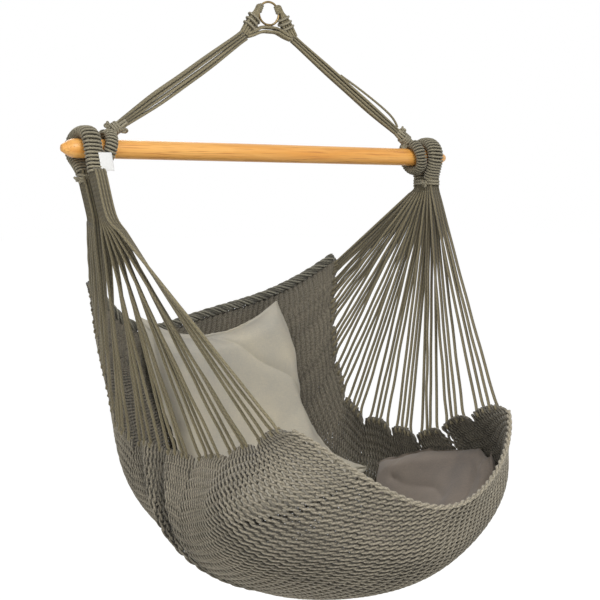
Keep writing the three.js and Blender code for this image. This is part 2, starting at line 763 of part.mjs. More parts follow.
// A rope lies along the back rim, and a thinner one along the front rim.
function rimRope(station, diameter, steps) {
  const reachAngle = THREE.MathUtils.degToRad(75);
  const inward = station > 0 ? -1 : 1;
  const inside = station + inward / netColumns;
  const points = [];
  for (let i = 0; i <= steps; i += 1) {
    const angle = -reachAngle + (2 * reachAngle * i) / steps;
    const rim = smoothSeat(station, angle);
    const out = rim.clone().sub(smoothSeat(inside, angle)).normalize();
    points.push(rim.addScaledVector(out, diameter / 2 + rimRopeGap));
  }
  return tube(points, diameter, 7);
}

// A cushion lies on the net: its outline is drawn in between four corners, and it is crowned.
function cushionSolid({ corners, thickness, drawInShares, edgeRiseShare, rest, cells }) {
  const [topNear, topFar, frontNear, frontFar] = corners;
  const mix = THREE.MathUtils.lerp;
  const cornerMix = (k, u, v) => mix(mix(topNear[k], topFar[k], u), mix(frontNear[k], frontFar[k], u), v);
  const seatAt = (u, v, depthShare) => {
    const squeezeU = u * (1 - drawInShares[0] * (1 - v * v));
    const squeezeV = v * (1 - drawInShares[1] * (1 - u * u));
    const station = cornerMix(0, (squeezeU + 1) / 2, (squeezeV + 1) / 2);
    const angle = THREE.MathUtils.degToRad(cornerMix(1, (squeezeU + 1) / 2, (squeezeV + 1) / 2));
    const crown = (Math.max(1 - u * u, 0) * Math.max(1 - v * v, 0)) ** 0.42;
    const full = thickness * crown + cushionSeamThickness;
    const depth = netThickness / 2 + rest + edgeRiseShare * thickness * (1 - crown) + full * depthShare;
    return smoothSeat(station, angle).addScaledVector(seatNormal(station, angle), -depth);
  };
  const positions = [];
  const put = (...corners) => corners.forEach((corner) => positions.push(corner.x, corner.y, corner.z));
  const quad = (a, b, c, d) => {
    put(a, b, c);
    put(a, c, d);
  };
  const share = (i) => -Math.cos((Math.PI * i) / cells);
  for (let i = 0; i < cells; i += 1) {
    for (let j = 0; j < cells; j += 1) {
      const corners = [[i, j], [i + 1, j], [i + 1, j + 1], [i, j + 1]].map(([a, b]) => [share(a), share(b)]);
      quad(...corners.map(([u, v]) => seatAt(u, v, 0)));
      quad(...corners.reverse().map(([u, v]) => seatAt(u, v, 1)));
    }
  }
  const sideEdges = [
    (i) => [share(i), -1], (i) => [1, share(i)], (i) => [-share(i), 1], (i) => [-1, -share(i)],
  ];
  for (const edge of sideEdges) {
    for (let i = 0; i < cells; i += 1) {
      const [a, b] = [edge(i), edge(i + 1)];
      quad(seatAt(...b, 0), seatAt(...a, 0), seatAt(...a, 1), seatAt(...b, 1));
    }
  }
  const geometry = new THREE.BufferGeometry();
  geometry.setAttribute('position', new THREE.Float32BufferAttribute(positions, 3));
  return solid(geometry);
}

// Each cushion's corners, as a station and an angle in degrees: back near, back far, front near, front far.
const backCushion = {
  corners: [[0.03, -44], [-0.02, 28], [0.53, -22], [0.6, 74]],
  thickness: backCushionThickness,
  drawInShares: [-0.06, 0.05],
  edgeRiseShare: 0.32,
  rest: cushionRestGap,
  cells: 12,
};
const sideCushion = {
  corners: [[0.6, 76], [0.945, 72], [0.64, 40], [0.935, 36]],
  thickness: sideCushionThickness,
  drawInShares: [0.04, -0.72],
  edgeRiseShare: 0.25,
  rest: cushionRestGap,
  cells: 10,
};

// A blank sewn label hangs flat against the near loop's front leg.
function addLabel() {
  const label = new THREE.BoxGeometry(labelWidth, labelThickness, labelHeight);
  const legY = -seatLoopRadius * Math.cos(legAngleOf(-1)) - seatLoopHalfDepth - clearance + labelPress;
  const x = (seatLoopWidth - seatLoopSpan) / 2 - 0.15 * labelWidth;
  label.translate(x, legY - labelThickness / 2, barZ - labelDrop);
  addPart('care_label', solid(label), colours.label, 0.8);
}

addRing();
addHitches();
addHangerLoops();
addBundles();
addLooseCord();
addBar();
addSeatLoops();
addCollars();
const net = netShell();
const netRoom = netShell(clearance).add(net);
addFans(netRoom);
addPart('seat_net', net, colours.net);
addPart('back_rim_rope', rimRope(0, backRopeDiameter, 20).subtract(netRoom), colours.net);
addPart('front_rim_rope', rimRope(1, frontRopeDiameter, 20).subtract(netRoom), colours.net);
addPart('back_cushion', cushionSolid(backCushion), colours.linen);
addPart('side_cushion', cushionSolid(sideCushion).subtract(netRoom), colours.taupe);
addLabel();

export default group;
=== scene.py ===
# A hanging hammock chair: a brass ring, two bundles of cord, a turned wooden bar, whipped loops, two fans
# of cords, a linked net seat and two loose pillows. Everything is in metres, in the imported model's frame.

import math
import random

import bmesh
import bpy
import numpy as np
from mathutils import Matrix, Vector
from mathutils.kdtree import KDTree


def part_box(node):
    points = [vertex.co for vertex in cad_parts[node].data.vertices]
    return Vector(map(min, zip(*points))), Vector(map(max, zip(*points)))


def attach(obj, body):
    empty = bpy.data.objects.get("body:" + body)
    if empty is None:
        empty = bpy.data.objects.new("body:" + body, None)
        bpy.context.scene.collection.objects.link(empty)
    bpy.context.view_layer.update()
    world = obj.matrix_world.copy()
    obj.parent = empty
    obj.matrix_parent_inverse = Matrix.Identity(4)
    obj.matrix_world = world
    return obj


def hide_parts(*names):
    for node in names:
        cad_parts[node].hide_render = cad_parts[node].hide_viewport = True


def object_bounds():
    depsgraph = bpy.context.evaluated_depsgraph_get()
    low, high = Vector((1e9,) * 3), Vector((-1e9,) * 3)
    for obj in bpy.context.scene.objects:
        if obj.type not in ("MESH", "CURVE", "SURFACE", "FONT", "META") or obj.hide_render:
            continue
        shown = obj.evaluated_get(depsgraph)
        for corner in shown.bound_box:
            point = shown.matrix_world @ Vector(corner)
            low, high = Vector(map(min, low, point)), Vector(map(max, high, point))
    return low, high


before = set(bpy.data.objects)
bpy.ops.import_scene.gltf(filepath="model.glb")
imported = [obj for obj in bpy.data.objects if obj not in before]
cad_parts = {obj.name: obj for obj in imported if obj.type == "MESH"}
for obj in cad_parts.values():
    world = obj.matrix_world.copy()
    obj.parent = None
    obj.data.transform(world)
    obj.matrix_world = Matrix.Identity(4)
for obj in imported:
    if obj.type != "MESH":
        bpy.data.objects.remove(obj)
cad_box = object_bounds()

# The camera stands in front of the chair and to its near side, a little above the seat, and looks at the
# middle of the chair through a short telephoto lens.
camera_stand = Vector((-1.6806, -2.7151, -0.4653))
camera_aim = Vector((0.0581, -0.0377, -0.660))
camera_lens_mm = 85.4
camera_data = bpy.data.cameras.new("camera")
camera_data.lens = camera_lens_mm
camera = bpy.data.objects.new("camera", camera_data)
camera.location = camera_stand
camera.rotation_euler = (camera_aim - camera_stand).to_track_quat("-Z", "Y").to_euler()
bpy.context.collection.objects.link(camera)
bpy.context.scene.camera = camera
bpy.context.scene.view_settings.view_transform = "Standard"


# The studio is white all round, with a pale floor under the hanging chair. A large lamp stands in front of
# the chair, and weaker ones stand to its near side and behind it.
floor_gap = 0.45
floor_half = 60.0
floor_tone = (0.88, 0.88, 0.87, 1)
floor_glow_strength = 1.22
floor_glow_share = 0.75
sky_fill = 0.36
lamps = {
    "key_lamp": {"stand": (-0.5, -3.4, 1.7), "watts": 105, "side": 1.6},
    "fill_lamp": {"stand": (-2.8, -1.9, 0.3), "watts": 24, "side": 2.0},
    "rim_lamp": {"stand": (0.6, 2.6, 1.2), "watts": 30, "side": 1.6},
}


def maths(tree, operation, *values):
    """One Math node, whose inputs are numbers or other nodes' outputs."""
    node = tree.nodes.new("ShaderNodeMath")
    node.operation = operation
    for socket, value in zip(node.inputs, values):
        if isinstance(value, (int, float)):
            socket.default_value = value
        else:
            tree.links.new(value, socket)
    return node.outputs[0]


def seen_directly(tree):
    """1 for rays that show the studio itself, in the view, in gloss or through glass."""
    path = tree.nodes.new("ShaderNodeLightPath")
    seen = maths(tree, "ADD", path.outputs["Is Camera Ray"], path.outputs["Is Glossy Ray"])
    return maths(tree, "MINIMUM", maths(tree, "ADD", seen, path.outputs["Is Transmission Ray"]), 1)


def show_mix(tree, share, first, second, output):
    """The output shows the first shader, and the second one by its share."""
    mix = tree.nodes.new("ShaderNodeMixShader")
    for socket, value in zip(mix.inputs, (share, first, second)):
        tree.links.new(value, socket)
    tree.links.new(mix.outputs[0], tree.nodes[output].inputs["Surface"])


def new_finish(name, roughness):
    """A node material with its roughness set, and the nodes that every finish here has."""
    material = bpy.data.materials.new(name)
    material.use_nodes = True
    shader = material.node_tree.nodes["Principled BSDF"]
    shader.inputs["Roughness"].default_value = roughness
    return material, material.node_tree, shader


def shape_mesh(name, shape):
    """A new mesh with the shape's faces, and the shape is let go."""
    mesh = bpy.data.meshes.new(name)
    shape.to_mesh(mesh)
    shape.free()
    return mesh


world = bpy.data.worlds.new("studio")
world.use_nodes = True
bpy.context.scene.world = world
world_tree = world.node_tree
sky = world_tree.nodes["Background"]
white_wall = world_tree.nodes.new("ShaderNodeBackground")
for backdrop in (sky, white_wall):
    backdrop.inputs["Color"].default_value = (1, 1, 1, 1)
sky.inputs["Strength"].default_value = sky_fill
show_mix(world_tree, seen_directly(world_tree), sky.outputs[0], white_wall.outputs[0], "World Output")

floor_shape = bmesh.new()
bmesh.ops.create_grid(floor_shape, x_segments=1, y_segments=1, size=floor_half)
bmesh.ops.translate(floor_shape, verts=floor_shape.verts, vec=(0, 0, cad_box[0][2] - floor_gap))
floor_mesh = shape_mesh("floor", floor_shape)
floor_finish, floor_tree, floor_shader = new_finish("floor_paint", roughness=0.9)
floor_shader.inputs["Base Color"].default_value = floor_tone
floor_glow = floor_tree.nodes.new("ShaderNodeEmission")
floor_glow.inputs["Strength"].default_value = floor_glow_strength
floor_share = maths(floor_tree, "MULTIPLY", seen_directly(floor_tree), floor_glow_share)
show_mix(floor_tree, floor_share, floor_shader.outputs[0], floor_glow.outputs[0], "Material Output")
floor_mesh.materials.append(floor_finish)
floor = bpy.data.objects.new("studio_floor", floor_mesh)
bpy.context.collection.objects.link(floor)

for lamp_name, lamp in lamps.items():
    lamp_data = bpy.data.lights.new(lamp_name, "AREA")
    lamp_data.energy = lamp["watts"]
    lamp_data.size = lamp["side"]
    lamp_object = bpy.data.objects.new(lamp_name, lamp_data)
    lamp_object.location = lamp["stand"]
    aim = camera_aim - Vector(lamp["stand"])
    lamp_object.rotation_euler = aim.to_track_quat("-Z", "Y").to_euler()
    bpy.context.collection.objects.link(lamp_object)


# The ring is one closed ring of antique brass wire, with its welded joint at the foot. It is dull, with
# lighter spots where it has worn.
ring_low, ring_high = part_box("hanging_ring")
ring_wire = ring_high.y - ring_low.y
ring_radius = (ring_high.x - ring_low.x - ring_wire) / 2
ring_middle = (ring_low + ring_high) / 2
ring_steps = 96
wire_sides = 20
weld_swell = 0.0005
weld_half = 0.007
brass_tone = (0.33, 0.235, 0.105, 1)
brass_dull = (0.14, 0.105, 0.06, 1)


def speckle(tree, scale, detail=3.0, stretch=(1, 1, 1), roughness=0.55):
    """Noise on the piece's own coordinates, in spots of about 1/scale metres, drawn out by stretch."""
    spot = tree.nodes.new("ShaderNodeTexCoord")
    mapping = tree.nodes.new("ShaderNodeMapping")
    mapping.inputs["Scale"].default_value = stretch
    noise = tree.nodes.new("ShaderNodeTexNoise")
    noise.inputs["Scale"].default_value = scale
    noise.inputs["Detail"].default_value = detail
    noise.inputs["Roughness"].default_value = roughness
    tree.links.new(spot.outputs["Object"], mapping.inputs["Vector"])
    tree.links.new(mapping.outputs["Vector"], noise.inputs["Vector"])
    return noise.outputs["Fac"]


def between(tree, share, first, second, low=0.0, high=1.0):
    """A colour between two others, as share goes from low to high."""
    spread = tree.nodes.new("ShaderNodeMapRange")
    spread.inputs["From Min"].default_value = low
    spread.inputs["From Max"].default_value = high
    tree.links.new(share, spread.inputs["Value"])
    mix = tree.nodes.new("ShaderNodeMix")
    mix.data_type = "RGBA"
    tree.links.new(spread.outputs["Result"], mix.inputs["Factor"])
    for socket, value in ((mix.inputs["A"], first), (mix.inputs["B"], second)):
        if isinstance(value, tuple):
            socket.default_value = value
        else:
            tree.links.new(value, socket)
    return mix.outputs["Result"]


def painted(tree, shader, *blend, **ends):
    """The shader's colour is a blend of two others."""
    tree.links.new(between(tree, *blend, **ends), shader.inputs["Base Color"])


def bumped(tree, shader, height, relief):
    """The height shades the surface, as a relief that deep in metres."""
    bump = tree.nodes.new("ShaderNodeBump")
    bump.inputs["Distance"].default_value = relief
    bump.inputs["Strength"].default_value = 1
    tree.links.new(height, bump.inputs["Height"])
    tree.links.new(bump.outputs["Normal"], shader.inputs["Normal"])


def add_piece(name, mesh, material, body, slot, *nodes):
    """A finished mesh becomes a piece that rides on its body and stands for its nodes."""
    mesh.materials.append(material)
    mesh.shade_smooth()
    piece = bpy.data.objects.new(name, mesh)
    bpy.context.collection.objects.link(piece)
    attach(piece, body)
    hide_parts(*nodes)
    return piece


brass, brass_tree, brass_shader = new_finish("antique_brass", roughness=0.42)
brass_shader.inputs["Metallic"].default_value = 1
brass_spots = speckle(brass_tree, scale=260)
painted(brass_tree, brass_shader, brass_spots, brass_dull, brass_tone, low=0.35, high=0.62)
brass_rough = maths(brass_tree, "MULTIPLY_ADD", speckle(brass_tree, scale=900), 0.35, 0.25)
brass_tree.links.new(brass_rough, brass_shader.inputs["Roughness"])
bumped(brass_tree, brass_shader, brass_spots, relief=0.0003)

ring_shape = bmesh.new()
bmesh.ops.create_circle(ring_shape, segments=wire_sides, radius=ring_wire / 2, cap_ends=False,
                        matrix=Matrix.Translation((ring_radius, 0, 0)))
bmesh.ops.spin(ring_shape, geom=ring_shape.verts[:] + ring_shape.edges[:], cent=(0, 0, 0), axis=(0, 1, 0),
               dvec=(0, 0, 0), angle=2 * math.pi, steps=ring_steps, use_merge=True)
for spot in ring_shape.verts:
    towards_weld = math.atan2(spot.co.x, -spot.co.z) * ring_radius
    extra = weld_swell * math.exp(-((towards_weld / weld_half) ** 2))
    middle = Vector((spot.co.x, 0, spot.co.z)).normalized() * ring_radius
    spot.co += (spot.co - middle).normalized() * extra
bmesh.ops.translate(ring_shape, verts=ring_shape.verts, vec=ring_middle)
bmesh.ops.recalc_face_normals(ring_shape, faces=ring_shape.faces)
add_piece("forged_ring", shape_mesh("forged_ring", ring_shape), brass, "ring", "brass", "hanging_ring")


# Four cords pass through the ring on each side, front to back, so that eight run down each leg of the
# knot. Turns of the same cord bind each leg, and a hank joins both legs under the ring.
cord_thickness = 0.006
binding_thickness = 0.0056
knot_drop = 0.075
knot_half_span = 0.064
leg_lane = 0.0061
leg_layer = 0.0034
ring_angle = math.radians(24)
ring_cords = 4
leg_foot_overlap = 0.002
crossing_drop = 0.004
crossing_share = 0.72
leg_swell_share = 1.05
layer_swell_share = 1.35
wire_wrap_share = 0.9
binding_half_width = 0.0118
binding_half_depth = 0.0152
binding_turns = 3.2
binding_start_angle = 1.2
binding_from_wire = 0.020
binding_from_foot = 0.018
knot_stand = 0.014
knot_slide = 0.012
knot_size = 0.0125
hank_inset = 0.006
hank_flatten_share = 0.3
hank_lanes = [(-0.0068, 0.0046), (0, 0.0062), (0.0068, 0.0046), (-0.0068, -0.0042), (0, -0.0056),
              (0.0068, -0.0042)]
cord_light = (0.29, 0.247, 0.148, 1)
cord_dark = (0.060, 0.051, 0.033, 1)
binding_light = (0.36, 0.32, 0.22, 1)
binding_dark = (0.055, 0.048, 0.032, 1)
crevice_reach_share = 1.4
sides = {"left": -1, "right": 1}
upright = np.array([0.0, 0.0, 1.0])
rearward = np.array([0.0, 1.0, 0.0])
sideways = np.array([1.0, 0.0, 0.0])


def unit(vectors):
    """The same directions, each one long."""
    return vectors / np.maximum(np.linalg.norm(vectors, axis=-1, keepdims=True), 1e-9)


def run_along(line):
    """The metres from the line's start to each of its points."""
    return np.r_[0, np.cumsum(np.linalg.norm(np.diff(line, axis=0), axis=1))]


def run_past_ends(rows):
    """The rows, with one more before the first and one more after the last, in line with their ends."""
    return np.vstack([2 * rows[0] - rows[1], rows, 2 * rows[-1] - rows[-2]])


def between_rows(before, start, end, after, share):
    """A row that lies a share of the way from start to end, on a smooth line through all four rows."""
    return 0.5 * (2 * start + (end - before) * share
                  + (2 * before - 5 * start + 4 * end - after) * share ** 2
                  + (3 * start - before - 3 * end + after) * share ** 3)


def through(points, count):
    """Evenly spaced points on one smooth line through the given points."""
    rows = run_past_ends(np.asarray(points, float))
    share = np.linspace(0, 1, 16, endpoint=False)[:, None]
    fine = [between_rows(*four, share) for four in zip(rows, rows[1:], rows[2:], rows[3:])]
    fine = np.vstack(fine + [rows[-2:-1]])
    run = run_along(fine)
    places = np.linspace(0, run[-1], count)
    return np.column_stack([np.interp(places, run, fine[:, k]) for k in range(3)])


def wound(core, across, half_width, half_depth, turns, steps=18, boxy=1.0, start_angle=0.0):
    """The line of a cord that winds round a core, whose width lies along across, and the way it faces."""
    line = through(core, int(turns * steps) + 1)
    along = unit(np.gradient(line, axis=0))
    across = unit(across - (along @ across)[:, None] * along)
    outward = unit(np.cross(across, along))
    angle = start_angle + np.linspace(0, 2 * math.pi * turns, len(line))
    wide = np.sign(np.cos(angle)) * np.abs(np.cos(angle)) ** boxy
    deep = np.sign(np.sin(angle)) * np.abs(np.sin(angle)) ** boxy
    ways = across * (wide / half_width)[:, None] + outward * (deep / half_depth)[:, None]
    return line + across * (half_width * wide)[:, None] + outward * (half_depth * deep)[:, None], unit(ways)


def overhand(middle, axis, size):
    """The closed line of a small tight knot, its three lobes square to the axis."""
    turn = np.linspace(0, 2 * math.pi, 54, endpoint=False)
    lobes = np.column_stack([np.sin(turn) + 2 * np.sin(2 * turn), np.cos(turn) - 2 * np.cos(2 * turn),
                             -1.4 * np.sin(3 * turn)]) * size / 6
    lean = Vector((0, 0, 1)).rotation_difference(Vector(axis)).to_matrix()
    return lobes @ np.array(lean).T + np.asarray(middle)


def point_tree(points):
    """A tree that finds which of the points lie nearest to a place."""
    tree = KDTree(len(points))
    for number, point in enumerate(points):
        tree.insert(point, number)
    tree.balance()
    return tree


def open_shares(spots, owners, crowd, radius):
    """0 for a spot of a cord where another of the crowd touches it, rising to 1 in the open, as a mask of
    painted shade.
    """
    points = np.vstack(crowd)
    along = np.vstack([unit(np.gradient(line, axis=0)) for line in crowd])
    lines = np.repeat(np.arange(len(crowd)), [len(line) for line in crowd])
    tree = point_tree(points)
    nearest = np.full(len(spots), -1)
    for number, (spot, owner) in enumerate(zip(spots, owners)):
        others = [index for _, index, _ in tree.find_n(spot, 12) if lines[index] != owner]
        if others:
            nearest[number] = others[0]
    gap = spots - points[nearest]
    gap -= np.sum(gap * along[nearest], axis=1, keepdims=True) * along[nearest]
    shares = np.clip((np.linalg.norm(gap, axis=1) / radius - 1) / crevice_reach_share, 0, 1)
    return np.where(nearest < 0, 1, shares)


def read_rows(items, field, size, kind=float):
    """A field of a mesh's vertices, corners or faces, as rows of numbers."""
    values = np.zeros(len(items) * size, kind)
    items.foreach_get(field, values)
    return values.reshape(-1, size)


def cord_tubes(name, routes, diameter, round_sides, closed):
    """A mesh of open tubes along the routes. Their points come ring by ring."""
    line = bpy.data.curves.new(name, "CURVE")
    line.dimensions = "3D"
    line.bevel_depth = diameter / 2
    line.bevel_resolution = round_sides // 2 - 2
    for route in routes:
        spline = line.splines.new("POLY")
        spline.points.add(len(route) - 1)
        spline.points.foreach_set("co", np.column_stack([route, np.ones(len(route))]).ravel())
        spline.use_cyclic_u = closed
    holder = bpy.data.objects.new(name + "_line", line)
    mesh = bpy.data.meshes.new_from_object(holder)
    mesh.name = name
    bpy.data.objects.remove(holder)
    bpy.data.curves.remove(line)
    return mesh


def unrolled(values, whole):
    """The values at each face's corners, where a face that crosses the seam goes on past the whole."""
    seam = np.ptp(values, axis=1, keepdims=True) > whole / 2
    return np.where(seam & (values < whole / 2), values + whole, values)


def map_cords(mesh, routes, round_sides, closed):
    """Give the tubes a map that holds the share round each cord and the metres along it."""
    metres, lengths = [], []
    for route in routes:
        run = run_along(route)
        whole = run[-1] + (np.linalg.norm(route[-1] - route[0]) if closed else 0)
        metres.append(np.repeat(run, round_sides))
        lengths.append(np.full(len(run) * round_sides, whole))
    metres, lengths = np.concatenate(metres), np.concatenate(lengths)
    share = np.tile(np.arange(round_sides) / round_sides, len(metres) // round_sides)
    corners = read_rows(mesh.loops, "vertex_index", 1, int)[:, 0]
    places = np.column_stack([share[corners], metres[corners]])
    walls = read_rows(mesh.polygons, "loop_start", 1, int) + np.arange(4)
    places[walls, 0] = unrolled(places[walls, 0], 1)
    places[walls, 1] = unrolled(places[walls, 1], lengths[corners[walls]])
    cord_map = mesh.uv_layers.new(name="cord_map")
    cord_map.uv.foreach_set("vector", places.astype(np.float32).ravel())


def lay_cords(name, routes, diameter, round_sides=8, closed=False, seed=1, faces=None, crevice_light=1.0,
              inner=1.0, flank_light=0.0, crowd=None, place=0):
    """A mesh of round cords along the routes. Besides its map, strand_shade gives each cord a tone of its
    own, and a second attribute holds painted shade: it is 1 where a cord is open, and falls to the given
    floor on the cord's flanks, where its neighbours would shade it: away from faces, or where others of
    the crowd touch it. The routes start at the given place in the crowd. The share inner paints shade on
    the side that looks the other way, and the flank share paints light on what lies square to faces."""
    mesh = cord_tubes(name, routes, diameter, round_sides, closed)
    map_cords(mesh, routes, round_sides, closed)
    tones = random.Random(seed)
    counts = [len(route) * round_sides for route in routes]
    shades = np.repeat([tones.random() for _ in routes], counts)
    spots = read_rows(mesh.vertices, "co", 3)
    opens = np.full(len(spots), float(faces is not None or crowd is not None))
    if faces is not None:
        away = unit(spots - np.repeat(np.vstack(routes), round_sides, axis=0))
        facing = np.sum(away * np.repeat(np.vstack(faces), round_sides, axis=0), axis=1)
        opens *= flank_light + (1 - flank_light) * np.maximum(facing, -inner * facing)
    if crowd is not None:
        owners = np.repeat(np.arange(len(routes)) + place, counts)
        opens *= open_shares(spots, owners, crowd, diameter / 2)
    for field, values in (("strand_shade", shades), ("crevice_light", crevice_light + (1 - crevice_light) * opens)):
        layer = mesh.attributes.new(field, "FLOAT", "POINT")
        layer.data.foreach_set("value", values.astype(np.float32))
    if not closed:
        capped = bmesh.new()
        capped.from_mesh(mesh)
        bmesh.ops.holes_fill(capped, edges=[edge for edge in capped.edges if edge.is_boundary])
        capped.to_mesh(mesh)
        capped.free()
    return mesh


def joined(name, *meshes):
    """One mesh made of several."""
    whole = bmesh.new()
    for mesh in meshes:
        whole.from_mesh(mesh)
    return shape_mesh(name, whole)


# The braid is used by every cord here: strands cross in a plait of diamonds round the cord. It gives
# its own height, and the tone and the painted crevice shade that the cord's mesh carries.
braid_groove_shade_share = 0.52
braid_base_share = 0.14
tone_share = 0.22
fuzz_share = 0.35
patch_share = 0.35
crevice_shade_floor_share = 0.3
cord_relief = 0.0005
braid = bpy.data.node_groups.new("cord_braid", "ShaderNodeTree")
for socket_name, socket_value in (("Strands", 3.0), ("Plait length", 0.012)):
    socket = braid.interface.new_socket(socket_name, in_out="INPUT", socket_type="NodeSocketFloat")
    socket.default_value = socket_value
for socket_name in ("Height", "Tone", "Crevice light"):
    braid.interface.new_socket(socket_name, in_out="OUTPUT", socket_type="NodeSocketFloat")
braid_in = braid.nodes.new("NodeGroupInput")
braid_out = braid.nodes.new("NodeGroupOutput")
braid_map = braid.nodes.new("ShaderNodeUVMap")
braid_map.uv_map = "cord_map"
braid_place = braid.nodes.new("ShaderNodeSeparateXYZ")
braid.links.new(braid_map.outputs["UV"], braid_place.inputs[0])
braid_round = maths(braid, "MULTIPLY", braid_place.outputs["X"], braid_in.outputs["Strands"])
braid_along = maths(braid, "DIVIDE", braid_place.outputs["Y"], braid_in.outputs["Plait length"])
right_hand = maths(braid, "ADD", braid_round, braid_along)
left_hand = maths(braid, "SUBTRACT", braid_round, braid_along)
over = maths(braid, "FLOORED_MODULO",
             maths(braid, "ADD", maths(braid, "FLOOR", right_hand), maths(braid, "FLOOR", left_hand)), 2)
right_ridge = maths(braid, "MULTIPLY", maths(braid, "PINGPONG", right_hand, 0.5), 2)
left_ridge = maths(braid, "MULTIPLY", maths(braid, "PINGPONG", left_hand, 0.5), 2)
right_part = maths(braid, "MULTIPLY", right_ridge, maths(braid, "SUBTRACT", 1, over))
braid_height = maths(braid, "MULTIPLY_ADD", left_ridge, over, right_part)
braid.links.new(maths(braid, "POWER", braid_height, 0.6), braid_out.inputs["Height"])
for socket_name, attribute_name in (("Tone", "strand_shade"), ("Crevice light", "crevice_light")):
    braid_shade = braid.nodes.new("ShaderNodeAttribute")
    braid_shade.attribute_name = attribute_name
    braid.links.new(braid_shade.outputs["Fac"], braid_out.inputs[socket_name])


def cord_finish(name, light, dark, strands, plait, patch_scale=14):
    """Braided cord: painted light on the braid's ridges and painted shade between them, painted shade on its
    flanks, with fuzz, and a tone of its own.
    """
    material, tree, shader = new_finish(name, roughness=0.88)
    shader.inputs["Sheen Weight"].default_value = 0.25
    shader.inputs["Sheen Roughness"].default_value = 0.5
    shader.inputs["Specular IOR Level"].default_value = 0.25
    weave = tree.nodes.new("ShaderNodeGroup")
    weave.node_tree = braid
    weave.inputs["Strands"].default_value = strands
    weave.inputs["Plait length"].default_value = plait
    fuzz = speckle(tree, scale=1400, detail=2)
    patch = speckle(tree, patch_scale, detail=2)
    # The braid's height paints light on its ridges and shade in its grooves.
    mixed = maths(tree, "MULTIPLY_ADD", weave.outputs["Height"], braid_groove_shade_share, braid_base_share)
    mixed = maths(tree, "MULTIPLY_ADD", weave.outputs["Tone"], tone_share, mixed)
    mixed = maths(tree, "MULTIPLY_ADD", fuzz, fuzz_share, mixed)
    mixed = maths(tree, "MULTIPLY_ADD", patch, patch_share, mixed)
    # The cord's painted shade: darker on its flanks and where others touch it, down to a floor.
    lit = maths(tree, "MULTIPLY_ADD", weave.outputs["Crevice light"], 1 - crevice_shade_floor_share, crevice_shade_floor_share)
    painted(tree, shader, maths(tree, "MULTIPLY", mixed, lit), dark, light, low=0.25, high=1.15)
    height = maths(tree, "MULTIPLY_ADD", fuzz, 0.3, weave.outputs["Height"])
    bumped(tree, shader, height, cord_relief)
    return material


plain_finish = cord_finish("braided_cord", cord_light, cord_dark, strands=3, plait=0.011)
binding_finish = cord_finish("binding_cord", binding_light, binding_dark, strands=3, plait=0.008)


def knot_foot(side):
    """Where one leg of the ring's knot ends and a bundle starts."""
    return np.array([side * knot_half_span, 0, -knot_drop])


def ring_lane(side, wire_spot, wire_way, lane):
    """The line of one cord that comes up one face of a leg, passes round the wire and goes down the other."""
    leg_foot = knot_foot(side)
    leg_way = unit(leg_foot - wire_spot)
    rise = (lane - (ring_cords - 1) / 2) * leg_lane
    leg_rise = unit(np.cross(rearward, leg_way)) * side * rise
    crossing = wire_spot + np.cross(wire_way, rearward) * rise * crossing_share * side
    bend = (ring_wire + cord_thickness) / 2
    halves = []
    for face in (-1, 1):
        layer = rearward * face * leg_layer
        wrap = (wire_way + rearward * face) * bend * wire_wrap_share
        halves.append([leg_foot + leg_rise + layer - leg_way * leg_foot_overlap,
                       (wire_spot + leg_foot) / 2 + leg_rise * leg_swell_share + layer * layer_swell_share,
                       crossing + wrap + leg_way * crossing_drop])
    return through(halves[0] + [crossing - wire_way * bend] + halves[1][::-1], 64)


for side_name, side in sides.items():
    wire_way = np.array([side * math.cos(ring_angle), 0, math.sin(ring_angle)])
    wire_spot = np.array(ring_middle) + wire_way * ring_radius
    lanes = [ring_lane(side, wire_spot, wire_way, lane) for lane in range(ring_cords)]
    mesh = lay_cords(f"ring_knot_{side_name}", lanes, cord_thickness, seed=11 + side)
    add_piece(f"ring_knot_{side_name}", mesh, plain_finish, "ring", "cord", f"hitch_core_{side_name}")
    leg_foot = knot_foot(side)
    leg_way = unit(leg_foot - wire_spot)
    core = [wire_spot + leg_way * binding_from_wire, leg_foot - leg_way * binding_from_foot]
    turns, ways = wound(core, rearward, binding_half_width, binding_half_depth, binding_turns,
                        start_angle=side * binding_start_angle)
    # The binding's turns are painted with shade on their flanks, where the next turns lie.
    binding = lay_cords("binding", [turns], binding_thickness, seed=21 + side, faces=[ways], crevice_light=0)
    leg_square = unit(np.cross(rearward, leg_way)) * side
    knot_at = (wire_spot + leg_foot) / 2 + leg_square * knot_stand + leg_way * knot_slide
    knot_line = overhand(knot_at, np.cross(wire_way, rearward), knot_size)
    knot = lay_cords("knot", [knot_line], binding_thickness, closed=True, seed=31 + side)
    add_piece(f"ring_knot_turns_{side_name}", joined("ring_knot_turns", binding, knot), binding_finish,
              "ring", "whipping", f"hitch_turns_{side_name}")

hank_shares = [(-1.0, -1.0), (-0.7, -0.92), (-0.34, -0.80), (0, -0.785), (0.34, -0.80), (0.7, -0.92),
               (1.0, -1.0)]
hank_half = knot_half_span - hank_inset
hank_routes = [through([(x * hank_half, shift, z * knot_drop + rise * (1 - hank_flatten_share * x * x))
                        for x, z in hank_shares], 60) for shift, rise in hank_lanes]
mesh = lay_cords("ring_hank", hank_routes, cord_thickness, seed=41)
add_piece("ring_hank", mesh, plain_finish, "ring", "cord", "hitch_hank")


